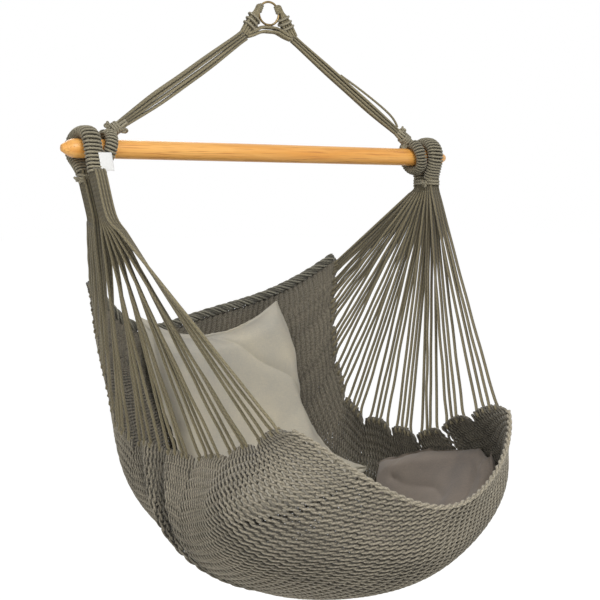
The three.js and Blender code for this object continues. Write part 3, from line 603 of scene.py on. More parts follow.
# Two bundles of cord carry the bar from the knot. The near one is flat and eight cords strong, and the
# far one is slimmer. One cord of the far bundle has slipped and stands off above the others.
hanger_span = 0.806
hanger_lean = math.radians(15)
hanger_low, hanger_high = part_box("hanger_loop_left")
hanger_core = 0.0084
hanger_reach = (hanger_high.y - hanger_low.y - hanger_core) / 2
bar_low, bar_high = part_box("spreader_bar")
bar_middle = (bar_low + bar_high) / 2
bar_radius = (bar_high.z - bar_low.z) / 2
neck_length = 0.036
bundle_pitch = 0.0064
bundle_open_shares = [(0, 1), (0.07, 1), (0.3, 1.3), (0.5, 1.3), (0.72, 1.3), (0.93, 0.9), (1.0, 0.75),
                      (1.05, 0.7)]
bundle_wander_share = 0.22
bundle_sag = 0.0018
hanger_lift = 0.0006
bundle_lanes = {
    "left": [(rise, shift) for rise in (-1.5, -0.5, 0.5, 1.5) for shift in (-0.5, 0.5)],
    "right": [(-1, -0.5), (-1, 0.5), (0, -0.5), (0, 0.5), (1, -0.5), (1, 0.5)],
}
loose_thickness = 0.0054
loose_shares = [(0.41, 1.9, 0), (0.45, 2.1, 0), (0.54, 2.7, 0.1), (0.68, 3.3, 0.2), (0.8, 3.5, 0.1),
                (0.88, 3.2, 0), (0.93, 2.4, 0), (0.955, 1.6, 0)]


def hanger_frame(side):
    """The middle, the leaning upright, the top and the neck's end of one hanger loop."""
    middle = np.array([side * hanger_span / 2, 0, bar_middle.z + hanger_lift])
    up = np.array([-side * math.sin(hanger_lean), 0, math.cos(hanger_lean)])
    top = middle + up * hanger_reach
    towards = unit(knot_foot(side) - top)
    return middle, up, top, towards, top + towards * neck_length


def square_above(way):
    """The direction square to a bundle's way that points up."""
    square = unit(np.cross(rearward, way))
    return square if square[2] > 0 else -square


wander = random.Random(7)
for side_name, side in sides.items():
    _, _, _, towards, neck_end = hanger_frame(side)
    start = knot_foot(side)
    square = square_above(towards)
    routes = []
    for rise, shift in bundle_lanes[side_name]:
        drift = [wander.uniform(-bundle_wander_share, bundle_wander_share) for _ in range(4)]
        points = []
        for share, opening in bundle_open_shares:
            bow = math.sin(math.pi * min(share, 1))
            wave = drift[0] * math.sin(5 * share + 6 * drift[1]) * bow
            points.append(start + (neck_end - start) * share
                          + square * (rise * opening + wave) * bundle_pitch
                          + rearward * (shift * opening + drift[2] * math.sin(4 * share)) * bundle_pitch
                          - upright * bundle_sag * bow)
        routes.append(through(points, 72))
    # The bundle's cords are painted with shade where they touch each other.
    mesh = lay_cords("bundle", routes, cord_thickness, seed=51 + side, crowd=routes, crevice_light=0.1)
    names = [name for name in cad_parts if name.startswith(f"hanger_cord_{side_name}_")]
    add_piece(f"hanger_bundle_{side_name}", mesh, plain_finish, "hanger", "cord", *names)

_, _, _, towards, neck_end = hanger_frame(1)
start = knot_foot(1)
square = square_above(towards)
loose_line = through([start + (neck_end - start) * share + square * rise * bundle_pitch
                      + rearward * shift * bundle_pitch for share, rise, shift in loose_shares], 60)
mesh = lay_cords("slipped_cord", [loose_line], loose_thickness, seed=61)
add_piece("slipped_cord", mesh, plain_finish, "hanger", "cord", "loose_cord")


# Each hanger loop is two cords side by side round the bar, whipped all round, that lean in to their
# bundle. Its neck is bound with the bundle's ends, which finish in two small knots.
whip_core = 0.0118
whip_thickness = 0.0054
whip_widen = 0.0038
whip_sink = 0.0006
whip_open_angle = 0.30
whip_stand = 0.0012
loop_turns = 30
neck_radius = 0.0105
neck_strands = 7
neck_steps = [(-0.010, 0.8), (0.012, 0.8), (neck_length, 0.75), (neck_length + 0.012, 0.6)]
neck_turns = 3.4
neck_turn_radius = neck_radius + 0.0014
neck_turn_ends = (0.010, 0.030)
hanger_knots = [(0.010, -0.015, 0.0120), (neck_length, 0.014, 0.0135)]


def neck_routes(top, towards):
    """The bundle's cords round the neck of a hanger loop, and the turns that bind them."""
    side_way = unit(np.cross(rearward, towards))
    routes = []
    for number in range(neck_strands):
        turn = 2 * math.pi * number / neck_strands
        out = (rearward * math.cos(turn) + side_way * math.sin(turn)) * neck_radius
        routes.append(through([top + towards * along + out * share for along, share in neck_steps], 24))
    core = [top + towards * along for along in neck_turn_ends]
    return routes + [wound(core, rearward, neck_turn_radius, neck_turn_radius, neck_turns)[0]]


for side_name, side in sides.items():
    middle, up, top, towards, _ = hanger_frame(side)
    reach = hanger_reach + whip_stand
    angle = np.linspace(whip_open_angle, 2 * math.pi - whip_open_angle, 80)[:, None]
    arc = middle + up * reach * np.cos(angle) + rearward * reach * np.sin(angle)
    across = unit(np.cross(rearward, up))
    # The cores are painted in full shade, which darkens the gaps between the whip's turns.
    cores = lay_cords("cores", [arc - across * whip_widen, arc + across * whip_widen], whip_core,
                      round_sides=12, crevice_light=0)
    whip_reach = (whip_core + whip_thickness) / 2 - whip_sink
    turns, ways = wound(arc, across, whip_reach + whip_widen, whip_reach, loop_turns, steps=16)
    # The whip's turns are painted with shade on their flanks.
    whip = lay_cords("whip", [turns], whip_thickness, seed=71 + side, faces=[ways], crevice_light=0)
    add_piece(f"hanger_loop_{side_name}_whipped", joined("whipped", cores, whip), binding_finish, "hanger",
              "whipping", f"hanger_loop_{side_name}", f"hanger_whipping_{side_name}")
    neck = lay_cords("neck", neck_routes(top, towards), binding_thickness, seed=81 + side)
    side_way = unit(np.cross(rearward, towards))
    knots = [overhand(top + towards * along + side_way * aside, rearward, size)
             for along, aside, size in hanger_knots]
    knot = lay_cords("knots", knots, binding_thickness, closed=True, seed=91 + side)
    add_piece(f"hanger_neck_{side_name}", joined("neck_binding", neck, knot), binding_finish, "hanger",
              "whipping", f"hanger_knot_{side_name}")


# The spreader bar is a dowel turned from honey-coloured wood, with long grain and blunt cone tips that
# stand out past the loops. It is oiled, with a soft shine.
tip_length = 0.026
tip_radius = 0.0085
bar_steps = 96
wood_light = (0.84, 0.435, 0.11, 1)
wood_deep = (0.72, 0.31, 0.055, 1)
wood_pore = (0.53, 0.21, 0.04, 1)
bar_half = (bar_high.x - bar_low.x) / 2
bar_shape = bmesh.new()
tip_profile = [(0, 0), (0.55 * tip_radius, 0.0003), (0.86 * tip_radius, 0.0014), (tip_radius, 0.0034),
               (0.80 * bar_radius, 0.62 * tip_length), (0.91 * bar_radius, 0.80 * tip_length),
               (0.975 * bar_radius, 0.97 * tip_length), (bar_radius, 1.2 * tip_length)]
bar_profile = [(radius, bar_half - along) for radius, along in tip_profile]
bar_profile += [(bar_radius, bar_half * share) for share in (0.6, 0.2, -0.2, -0.6)]
bar_profile += [(radius, along - bar_half) for radius, along in reversed(tip_profile)]
profile_spots = [bar_shape.verts.new((along, 0, radius)) for radius, along in bar_profile]
profile_edges = [bar_shape.edges.new(pair) for pair in zip(profile_spots, profile_spots[1:])]
bmesh.ops.spin(bar_shape, geom=profile_spots + profile_edges, cent=(0, 0, 0), axis=(1, 0, 0),
               dvec=(0, 0, 0), angle=2 * math.pi, steps=bar_steps, use_merge=True)
bmesh.ops.remove_doubles(bar_shape, verts=bar_shape.verts, dist=0.00001)
bmesh.ops.translate(bar_shape, verts=bar_shape.verts, vec=bar_middle)
bmesh.ops.recalc_face_normals(bar_shape, faces=bar_shape.faces)

wood, wood_tree, wood_shader = new_finish("oiled_wood", roughness=0.42)
wood_shader.inputs["Coat Weight"].default_value = 0.15
wood_shader.inputs["Coat Roughness"].default_value = 0.35
grain = speckle(wood_tree, scale=60, detail=4, stretch=(0.05, 1.6, 1), roughness=0.6)
pores = speckle(wood_tree, scale=420, detail=2, stretch=(0.03, 1, 1), roughness=0.5)
flame = speckle(wood_tree, scale=16, detail=2, stretch=(0.16, 1, 1.8), roughness=0.5)
wood_base = between(wood_tree, grain, wood_deep, wood_light, low=0.36, high=0.60)
wood_figure = between(wood_tree, flame, wood_base, wood_light, low=0.45, high=0.9)
painted(wood_tree, wood_shader, pores, wood_pore, wood_figure, low=0.28, high=0.46)
wood_tree.links.new(maths(wood_tree, "MULTIPLY_ADD", grain, 0.25, 0.3), wood_shader.inputs["Roughness"])
bumped(wood_tree, wood_shader, pores, relief=0.0002)
add_piece("turned_bar", shape_mesh("turned_bar", bar_shape), wood, "bar", "wood", "spreader_bar")


# A seat loop is a thick flat horseshoe of cord over the bar, whipped side by side from one leg to the
# other. The seat hangs from its two legs.
seat_loop_span = 0.890
loop_core_width = 0.0300
loop_core_depth = 0.0144
loop_drop = 0.052
leg_angles = {"left": np.radians([-20, 40]), "right": np.radians([20, 20])}
seat_loop_turns = 33
loop_slack = {"left": 0.024, "right": 0.0}
loop_clearance = 0.0003
loop_swell = 0.0018
filler_pitch = loop_core_width / 4.2
filler_layer = loop_core_depth / 2.1
filler_thickness = loop_core_width / 3.9
seat_whip_stand = 0.0004
loop_depth_reach = loop_core_depth / 2 + binding_thickness
loop_radius = bar_radius + loop_clearance + loop_depth_reach + loop_swell


def loop_leg(x, lean, way, steps=8):
    """One leg of a seat loop, from its foot to where it meets the bar's round, on the given side of it."""
    leg_top = np.array([x, way * loop_radius * math.cos(lean), bar_middle.z - loop_radius * math.sin(lean)])
    leg_length = (loop_drop - loop_radius * math.sin(lean)) / math.cos(lean)
    down = np.array([0, -way * math.sin(lean), -math.cos(lean)])
    return [leg_top + down * leg_length * (1 - step / steps) for step in range(steps)]


def seat_loop_line(side_name, arc_steps=40):
    """The middle line of one seat loop, from its front leg's foot over the bar to its back leg's. The near
    loop is slack: it stands off the bar at its back, and the seat draws its legs forward."""
    x = sides[side_name] * seat_loop_span / 2
    front_lean, back_lean = leg_angles[side_name]
    sweep = np.linspace(-front_lean, math.pi + back_lean, arc_steps + 1)
    arc = [np.array([x, -loop_radius * math.cos(turn), bar_middle.z + loop_radius * math.sin(turn)])
           for turn in sweep]
    line = np.array(loop_leg(x, front_lean, -1) + arc + loop_leg(x, back_lean, 1)[::-1])
    height_share = np.clip((line[:, 2] - line[0, 2]) / loop_drop, 0, 1)
    behind = np.clip(line[:, 1] / loop_radius, 0, 1)
    line[:, 1] += loop_slack[side_name] * np.sin(height_share * math.pi / 2) * behind
    return line


for side_name, side in sides.items():
    line = seat_loop_line(side_name)
    outward = unit(np.cross(sideways, np.gradient(line, axis=0)))
    fillers = [line + sideways * lane * filler_pitch + outward * layer * filler_layer
               for lane in (-1.5, -0.5, 0.5, 1.5) for layer in (-0.5, 0.5)]
    # The filler strands are painted darker all over, as shade under the whipping.
    mesh = lay_cords("filler", fillers, filler_thickness, seed=101 + side, crevice_light=0.3)
    add_piece(f"seat_loop_{side_name}_strands", mesh, plain_finish, "seat", "cord",
              f"seat_loop_{side_name}")
    half_width = (loop_core_width + binding_thickness) / 2
    half_depth = (loop_core_depth + binding_thickness) / 2 + seat_whip_stand
    turns, ways = wound(line, sideways, half_width, half_depth, seat_loop_turns, steps=22, boxy=0.8)
    # The whip's turns are painted with shade on their flanks.
    mesh = lay_cords("seat_whip", [turns], binding_thickness, seed=111 + side, faces=[ways], crevice_light=0)
    add_piece(f"seat_loop_{side_name}_whipped", mesh, binding_finish, "seat", "whipping",
              f"seat_whipping_{side_name}")


# The seat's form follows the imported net. Each row is a section, from the back rim to the front rim: its
# half width, its edges' place and depth, its middle's place and depth, the power of its curve and how much
# that eases to the far side, how far its sides bulge, and how much its far edge stands up.
seat_half_width = 0.333
seat_reach = 0.643
seat_depth = 0.944
place_power_share = 0.5
place_power_start = 0.7
rim_sample_share = 0.02
section_shares = np.array([
    [1.00, 0.36, 0.29, 0.39, 0.39, 2.00, 0.00, 0.00, 0.023],
    [0.98, 0.35, 0.35, 0.44, 0.50, 1.80, 0.10, 0.00, 0.017],
    [0.96, 0.34, 0.43, 0.45, 0.63, 1.50, 0.00, 0.00, 0.010],
    [0.93, 0.29, 0.55, 0.40, 0.78, 1.25, 0.05, -0.04, 0.006],
    [0.93, 0.18, 0.66, 0.25, 0.92, 1.00, 0.02, 0.02, 0.003],
    [0.88, -0.08, 0.68, -0.04, 0.99, 0.87, 0.02, 0.10, 0.002],
    [0.83, -0.32, 0.68, -0.38, 1.00, 0.66, 0.08, 0.16, 0.003],
    [0.80, -0.54, 0.63, -0.82, 0.90, 0.95, 0.14, 0.33, 0.009],
    [0.80, -0.77, 0.57, -1.00, 0.73, 2.40, 0.43, 0.04, 0.002],
])
fold_depth = 0.021
fold_station_shares = (0.6045, 0.6695)
fold_rise_share = 0.014
fold_fall_shares = (0.019, 0.15)
fold_slant_share = 0.153
fold_from_share = 0.35
fold_span_share = 0.75
fold_shade_share = 1.1
rim_dip = 0.062
rim_dip_angle = math.radians(-38)
rim_dip_reach = math.radians(27)
rim_dip_span_share = 0.16
tuft_count = 11
tuft_height = 0.014
tuft_start = math.radians(84)
tuft_gather_share = 0.10


def seat_section(station):
    """The section's row at a station, smooth between the rows of the table."""
    last = len(section_shares) - 1
    rows = run_past_ends(section_shares)
    place = station * last
    first = np.clip(np.floor(place).astype(int), 0, last - 1)
    return between_rows(*(rows[first + step] for step in range(4)), (place - first)[..., None])


def seat_surface(station, angle):
    """A point of the seat: station runs from back to front, angle from the left edge to the right."""
    station, angle = np.broadcast_arrays(np.asarray(station, float), np.asarray(angle, float))
    (width, edge_place, edge_depth, middle_place, middle_depth, power, ease, bulge,
     tilt) = np.moveaxis(seat_section(station), -1, 0)
    across = np.sin(angle)
    cosine = np.maximum(np.cos(angle), 0)
    power = power - ease * across
    fall = cosine ** power
    x = width * seat_half_width * across * (1 + 4 * bulge * fall * (1 - fall))
    place_power = place_power_share * power + place_power_start
    y = (edge_place + (middle_place - edge_place) * cosine ** place_power) * seat_reach
    depth = edge_depth + (middle_depth - edge_depth) * fall - tilt * across
    dip = rim_dip * np.exp(-((station / rim_dip_span_share) ** 2)
                           - ((angle - rim_dip_angle) / rim_dip_reach) ** 2)
    return np.stack([x, y, bar_middle.z - depth * seat_depth - dip], -1)


def seat_normal(station, angle):
    """The direction out of the seat, away from the sitter."""
    step = 0.01
    inner = np.clip(angle, 6 * step - math.pi / 2, math.pi / 2 - 6 * step)
    held = np.clip(station, step, 1 - step)
    along = seat_surface(held + step, inner) - seat_surface(held - step, inner)
    across = seat_surface(held, inner + step) - seat_surface(held, inner - step)
    return unit(np.cross(across, along))


def pleats(station, angle):
    """How high the near side's pleats stand at a place, and how deep it lies in their valleys, as the share
    of painted shade there.
    """
    side_share = (-angle / (math.pi / 2) - fold_from_share) / fold_span_share
    window = np.sin(math.pi * np.clip(side_share, 0, 1))
    along = station - fold_slant_share * (angle + tuft_start)
    ridges = 0
    for at, fall in zip(fold_station_shares, fold_fall_shares):
        reach = np.where(along < at, fold_rise_share, fall)
        ridges = np.maximum(ridges, np.exp(-(((along - at) / reach) ** 2)))
    span = fold_station_shares[-1] - fold_station_shares[0]
    middle = sum(fold_station_shares) / len(fold_station_shares)
    near = np.exp(-(((along - middle) / (fold_shade_share * span)) ** 6))
    return window * ridges, window * near * np.clip(1 - ridges, 0, 1)


def seat_place(station, angle):
    """A point of the seat's middle surface, pleats and all."""
    station, angle = np.broadcast_arrays(np.asarray(station, float), np.asarray(angle, float))
    out = fold_depth * pleats(station, angle)[0]
    return seat_surface(station, angle) + seat_normal(station, angle) * out[..., None]


def net_place(station, angle):
    """A point of the net, whose side edges are drawn up into tufts towards the throat."""
    station, angle = np.broadcast_arrays(np.asarray(station, float), np.asarray(angle, float))
    edge = np.clip((np.abs(angle) - tuft_start) / (math.pi / 2 - tuft_start), 0, 1)
    tuft_middle = (np.clip(np.floor(station * tuft_count), 0, tuft_count - 1) + 0.5) / tuft_count
    drawn = station + (tuft_middle - station) * tuft_gather_share * edge ** 2
    foot = seat_place(drawn, angle)
    throat = np.stack([np.sign(angle) * seat_loop_span / 2, np.zeros_like(angle),
                       np.full_like(angle, bar_middle.z - loop_drop)], -1)
    away = unit(throat - foot)
    rim = unit(seat_surface(drawn + rim_sample_share, angle) - seat_surface(drawn - rim_sample_share, angle))
    squareness = np.linalg.norm(np.cross(away, rim), axis=-1)
    hump = np.abs(np.sin(math.pi * station * tuft_count)) ** 0.5
    rise = tuft_height * squareness * hump * edge ** 1.5
    return foot + away * rise[..., None]


# The seat is a net of linked cords that run from the left edge to the right one. Each cord swings to and
# fro and hooks round both its neighbours, over one and under the other, and turns back at the tufts.
net_cords_per_tuft = 24
net_thickness = 0.0059
net_links = 25
net_steps = 8
net_rise = 0.0031
net_hook_share = 0.95
net_inside_shade_share = 0.50
net_wobbles = [(0.55, 9.0, 0.11, 0.0), (0.35, 23.0, -0.19, 1.0)]
net_fade_share = 0.045
net_edge_swing_share = 0.35
net_edge_rise_share = 0.5
net_turn_share = 0.9
net_light = (0.43, 0.38, 0.285, 1)
net_dark = (0.030, 0.028, 0.022, 1)
net_count = tuft_count * net_cords_per_tuft
net_points = net_links * net_steps + 1

net_stations = (np.arange(net_count) + 0.5) / net_count
fine_angles = np.linspace(-math.pi / 2, math.pi / 2, 361)
fine_lines = net_place(net_stations[:, None], fine_angles[None, :])
fine_steps = np.linalg.norm(np.diff(fine_lines, axis=1), axis=2)
fine_run = np.hstack([np.zeros((net_count, 1)), np.cumsum(fine_steps, axis=1)])
run_shares = np.linspace(0, 1, net_points)
net_angles = np.array([np.interp(run_shares * run[-1], run, fine_angles) for run in fine_run])
net_lines = net_place(net_stations[:, None], net_angles)
net_along = unit(np.gradient(net_lines, axis=1))
net_across = np.gradient(net_lines, axis=0)
net_pitch = np.linalg.norm(net_across, axis=2)
net_across = unit(net_across)
net_out = unit(np.cross(net_along, net_across))
number = np.arange(net_count)[:, None]
share = run_shares[None, :]
wobble = sum(size * np.sin(rate * share + drift * number + start) for size, rate, drift, start in net_wobbles)
phase = 2 * math.pi * net_links * share + math.pi * number + wobble
fade = np.clip(np.minimum(share, 1 - share) / net_fade_share, 0, 1)
swing = (net_pitch + net_hook_share * net_thickness) / 2
swing = swing * (net_edge_swing_share + (1 - net_edge_swing_share) * fade)
rise = net_rise * (net_edge_rise_share + (1 - net_edge_rise_share) * fade)
net_routes = (net_lines + net_across * (swing * np.cos(phase))[..., None]
              - net_out * (rise * np.sin(phase))[..., None])
# The pleats' valleys shorten the net's facing, which paints shade there.
net_valley_shaded_ways = net_out * (1 - pleats(net_stations[:, None], net_angles)[1])[..., None]


def linked_pair(first):
    """One closed loop of the net, out along one cord and back along the next, and the way it faces."""
    there, there_ways = net_routes[first], net_valley_shaded_ways[first]
    back, back_ways = net_routes[first + 1][::-1], net_valley_shaded_ways[first + 1][::-1]
    line, ways = [], []
    for outward, homeward, facing in ((there, back, there_ways), (back, there, back_ways)):
        end, begin = outward[-1], homeward[0]
        middle = (end + begin) / 2
        tip = unit(outward[-1] - outward[-5] + homeward[0] - homeward[4])
        reach = max(np.linalg.norm(begin - end) / 2, net_turn_share * net_thickness)
        turn = np.linspace(0, math.pi, 9)[1:-1, None]
        bend = middle + (end - middle) * np.cos(turn) + tip * reach * np.sin(turn)
        line += [outward, bend]
        ways += [facing, np.repeat(facing[-1:], len(bend), axis=0)]
    return np.concatenate(line), np.concatenate(ways)


net_finish = cord_finish("net_cord", net_light, net_dark, strands=2, plait=0.009, patch_scale=9)
net_parts = {"back": (0, 2), "mid_back": (2, 4), "low_back": (4, 6), "seat": (6, 8), "lap": (8, 10),
             "front": (10, 11)}
for part_name, (first_tuft, last_tuft) in net_parts.items():
    firsts = range(first_tuft * net_cords_per_tuft, last_tuft * net_cords_per_tuft, 2)
    loops, ways = zip(*(linked_pair(first) for first in firsts))
    # Each net cord is painted with shade on its flanks and on its inner side, towards the sitter.
    mesh = lay_cords(f"net_{part_name}", loops, net_thickness, closed=True, seed=121, faces=ways,
                     crevice_light=0, inner=net_inside_shade_share)
    add_piece(f"net_{part_name}", mesh, net_finish, "seat", "net", "seat_net")


# Four cords of each fan run from the throat under a seat loop down to one tuft of the net, and hook
# through it. The near loop's back cords are bound apart from its front cords.
fan_cords_per_tuft = 4
throat_pitch = 0.00642
near_back_tufts = 5
near_throat_gap = 0.025
fan_cord_thickness = 0.0066
# Painted light on the fan cords' flanks, much more on the near fan than on the far one.
fan_flank_light_shares = {"left": 0.85, "right": 0.25}
near_throat_sway = 0.026
waist_shifts = {"left": np.array([0, -0.045, -0.085]), "right": np.array([0, 0, -0.020])}
hook_depth = 0.012
hook_reach = 0.0046
hook_start = 0.004
hook_shares = [(0.5, 0), (1, -0.55), (0, -1), (-1, -0.6), (-0.8, 1 / 6)]
fan_spread_share = 0.9
fan_gather_share = 0.82
fan_gather_rise = 0.010
fan_stray_share = 0.05
fan_bow = 0.0035
fan_ripples = (0.0004, 0.0014)
fan_ripple_rate = 26
fan_steps = np.linspace(0.08, 0.97, 14)
fan_wander = random.Random(23)


def throat_place(side_name, tuft, row):
    """Where a fan's cord comes out of the throat."""
    side = sides[side_name]
    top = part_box(f"fan_{side_name}_{tuft + 1:02d}")[1].z
    x = side * (seat_loop_span / 2 + (row - (fan_cords_per_tuft - 1) / 2) * throat_pitch)
    if side < 0:
        middle = near_back_tufts - 0.5
        apart = near_throat_gap / 2 if tuft < near_back_tufts else -near_throat_gap / 2
        apart -= near_throat_sway
    else:
        middle = (tuft_count - 1) / 2
        apart = 0
    return np.array([x, (middle - tuft) * throat_pitch + apart, top])


def fan_route(side_name, tuft, row):
    """The line of one fan cord, from the throat through its waist down to its hook in the net."""
    top = throat_place(side_name, tuft, row)
    gathered = top * np.array([1, fan_gather_share, 1]) + upright * fan_gather_rise
    waist = top + waist_shifts[side_name]
    spread = (row - (fan_cords_per_tuft - 1) / 2) * fan_spread_share / fan_cords_per_tuft
    stray = fan_wander.uniform(-fan_stray_share, fan_stray_share)
    station = (tuft + 0.5 + spread + stray) / tuft_count
    edge = sides[side_name] * math.pi / 2
    foot = net_place(station, edge)
    away = unit(waist - foot)
    foot = foot + away * hook_start
    points = [gathered, top, waist]
    bow = unit(np.array([fan_wander.uniform(-1, 1), fan_wander.uniform(-1, 1), 0]))
    bow_size = fan_wander.uniform(0.0, fan_bow)
    ripple = fan_wander.uniform(*fan_ripples)
    ripple_start = fan_wander.uniform(0, 6)
    for share in fan_steps:
        bend = bow * bow_size * math.sin(math.pi * share)
        shake = bow[[1, 0, 2]] * ripple * math.sin(fan_ripple_rate * share + ripple_start) * share
        points.append(waist + (foot - waist) * share + bend + shake)
    hook = seat_normal(station, edge) * hook_reach * (1 if row % 2 else -1)
    points += [foot + hook * out + away * hook_depth * up for out, up in hook_shares]
    return through(points, 76)


for side_name, side in sides.items():
    routes = [fan_route(side_name, tuft, row) for tuft in range(tuft_count)
              for row in range(fan_cords_per_tuft)]
    for tuft in range(tuft_count):
        first = tuft * fan_cords_per_tuft
        station = (tuft + 0.5) / tuft_count
        ends = np.array([station - rim_sample_share, station + rim_sample_share])
        rim = unit(np.diff(seat_surface(ends, side * math.pi / 2), axis=0))
        own = routes[first:first + fan_cords_per_tuft]
        ways = [unit(np.cross(np.gradient(route, axis=0), rim)) for route in own]
        # The fan cords are painted with shade where they touch and on their flanks, and with painted light on
        # the flanks.
        mesh = lay_cords("fan", own, fan_cord_thickness, seed=200 + tuft, crowd=routes, place=first,
                         faces=ways, flank_light=fan_flank_light_shares[side_name], crevice_light=0.05)
        add_piece(f"fan_{side_name}_{tuft + 1:02d}_cords", mesh, plain_finish, "seat", "cord",
                  f"fan_{side_name}_{tuft + 1:02d}")


# Turns of cord bind the throat: all of the far fan, and only the back cords of the near one. Each
# binding ends in a tight knot with a short tail.
collar_turns = {"left": 3.2, "right": 2.4}
collar_step = 0.0062
collar_stand = 0.0052
collar_rise = 0.002
collar_knot_share = 0.4
collar_tail = [(0, 0, 0), (-0.009, -0.004, 0.001), (-0.016, -0.007, 0.005)]
for side_name, side in sides.items():
    last_tuft = near_back_tufts - 1 if side < 0 else tuft_count - 1
    first = throat_place(side_name, 0, 0)
    last = throat_place(side_name, last_tuft, fan_cords_per_tuft - 1)
    middle = (first + last) / 2
    half_x, half_y, _ = np.abs(first - last) / 2 + collar_stand
    drop = collar_turns[side_name] * collar_step
    core = [middle + upright * collar_rise, middle + upright * (collar_rise - drop)]
    turns, _ = wound(core, sideways, half_x, half_y, collar_turns[side_name], steps=28, boxy=0.55)
    knot_at = middle + np.array([-half_x, -half_y * collar_knot_share, -collar_rise - drop / 2])
    tail = through([knot_at + np.array(step) for step in collar_tail], 12)
    collar = lay_cords("collar", [turns, tail], binding_thickness, seed=131 + side)
    knot = lay_cords("collar_knot", [overhand(knot_at, (1, 0.4, 0), knot_size)], binding_thickness,
                     closed=True, seed=141 + side)
    add_piece(f"throat_binding_{side_name}", joined("collar", collar, knot), binding_finish, "seat",
              "whipping", f"throat_collar_{side_name}")


# A thick rope of four strands, each of three cords, finishes the back rim, and a two-strand twist the
# front rim. The back rope is the darker one.
back_rope = {"outset": 0.0115, "reach": math.radians(84), "count": 420, "length": 0.066}
back_ply = 0.0050
back_strand_stand = 0.0060
back_ply_stand = 0.0027
back_ply_twist_share = 0.6
front_rope = {"outset": 0.0055, "reach": math.radians(80), "count": 320, "length": 0.034}
front_strand = 0.0056
front_strand_stand = 0.0028
rim_step_share = 1 / 44
rim_light = (0.27, 0.255, 0.195, 1)


def rim_rope(station, inside, rope, normal_reach):
    """The middle line of a rope along a rim of the net, the two ways square to it, and the twist so far."""
    angle = np.linspace(-rope["reach"], rope["reach"], 181)
    rim = seat_surface(station, angle)
    outset = unit(rim - seat_surface(inside, angle)) * rope["outset"]
    line = through((rim + outset)[::3], rope["count"])
    along = unit(np.gradient(line, axis=0))
    normals = seat_normal(np.full(len(line), station), np.linspace(-normal_reach, normal_reach, len(line)))
    out = unit(np.cross(along, normals))
    return line, out, unit(np.cross(out, along)), 2 * math.pi * run_along(line) / rope["length"]


line, out, face, turn = rim_rope(0.0, rim_step_share, back_rope, back_rope["reach"])
ropes = []
for strand in range(4):
    offset = turn + math.pi * strand / 2
    middle = line + (out * np.sin(offset)[:, None] + face * np.cos(offset)[:, None]) * back_strand_stand
    for ply in range(3):
        spin = 2 * math.pi * ply / 3 - back_ply_twist_share * turn
        ropes.append(middle + (out * np.cos(spin)[:, None] + face * np.sin(spin)[:, None]) * back_ply_stand)
# The plies are painted with shade where they touch each other.
mesh = lay_cords("back_rim", ropes, back_ply, seed=151, crowd=ropes, crevice_light=0)
rim_finish = cord_finish("rim_cord", rim_light, net_dark, strands=2, plait=0.009)
add_piece("back_rim_plait", mesh, rim_finish, "seat", "net", "back_rim_rope")

line, out, face, turn = rim_rope(1.0, 1 - rim_step_share, front_rope, 1.4)
around = (out * np.cos(turn)[:, None] + face * np.sin(turn)[:, None]) * front_strand_stand
ropes = [line + around, line - around]
mesh = lay_cords("front_rim", ropes, front_strand, seed=161)
add_piece("front_rim_twist", mesh, net_finish, "seat", "net", "front_rim_rope")


# Two loose pillows lie in the seat: a big one in pale linen against its back, and a small one in taupe
# cloth at its far side. Each is a plain filled bag with soft creases, and it keeps clear of the net's cords.
linen_light = (0.60, 0.54, 0.41, 1)
linen_cool = (0.36, 0.35, 0.32, 1)
taupe_light = (0.31, 0.255, 0.205, 1)
taupe_cool = (0.165, 0.145, 0.132, 1)
cloth_thread = 900
patch_weight_share = 0.75
weave_weight_share = 0.55
pillows = {
    "back_cushion": {"slot": "linen", "voxel": 0.007, "shrink": 0.005, "cap": 0.020, "fill": 0.6, "thin": 1},
    "side_cushion": {"slot": "taupe", "voxel": 0.005, "shrink": 0.004, "cap": 0.012, "fill": 0.65, "thin": 0},
}
pillow_pressure = 4.0
drag_share = 0.12
edge_draw_share = 0.25
side_top_lifts = [(-0.533, -0.070), (-0.456, -0.023), (-0.416, -0.016), (-0.372, 0.022), (-0.300, 0.042),
                  (-0.220, 0.050), (-0.160, 0.042), (-0.100, 0.022), (-0.050, 0.010), (-0.012, 0.0)]
side_lift_from_share = 0.29
side_lift_full_share = 0.62
creases = {
    "back_cushion": [[(-0.030, 0.197, -0.737), (0.027, 0.185, -0.777), (0.086, 0.180, -0.821),
                      (0.167, 0.175, -0.861), (0.210, 0.172, -0.905)]],
    "side_cushion": [[(0.272, -0.425, -0.962), (0.264, -0.433, -0.978), (0.252, -0.447, -0.998),
                      (0.238, -0.465, -1.012)],
                     [(0.262, -0.130, -1.072), (0.262, -0.200, -1.082), (0.258, -0.289, -1.074),
                      (0.240, -0.350, -1.090)]],
}
crease_depth = 0.010
crease_width = 0.011
net_clearance = 0.0085


def cloth_finish(name, light, cool):
    """Plain-woven cloth: crossing threads with slubs, in soft patches of tone."""
    material, tree, shader = new_finish(name, roughness=0.92)
    shader.inputs["Sheen Weight"].default_value = 0.2
    shader.inputs["Specular IOR Level"].default_value = 0.2
    slub_one = speckle(tree, cloth_thread, detail=2, stretch=(0.12, 0.12, 1))
    slub_two = speckle(tree, cloth_thread, detail=2, stretch=(1, 0.5, 0.12))
    patch = speckle(tree, scale=7, detail=3)
    weave = maths(tree, "MULTIPLY_ADD", slub_one, 0.5, maths(tree, "MULTIPLY", slub_two, 0.5))
    mixed = maths(tree, "MULTIPLY_ADD", patch, patch_weight_share,
                  maths(tree, "MULTIPLY", weave, weave_weight_share))
    painted(tree, shader, mixed, cool, light, low=0.38, high=0.86)
    bumped(tree, shader, weave, relief=0.0006)
    return material


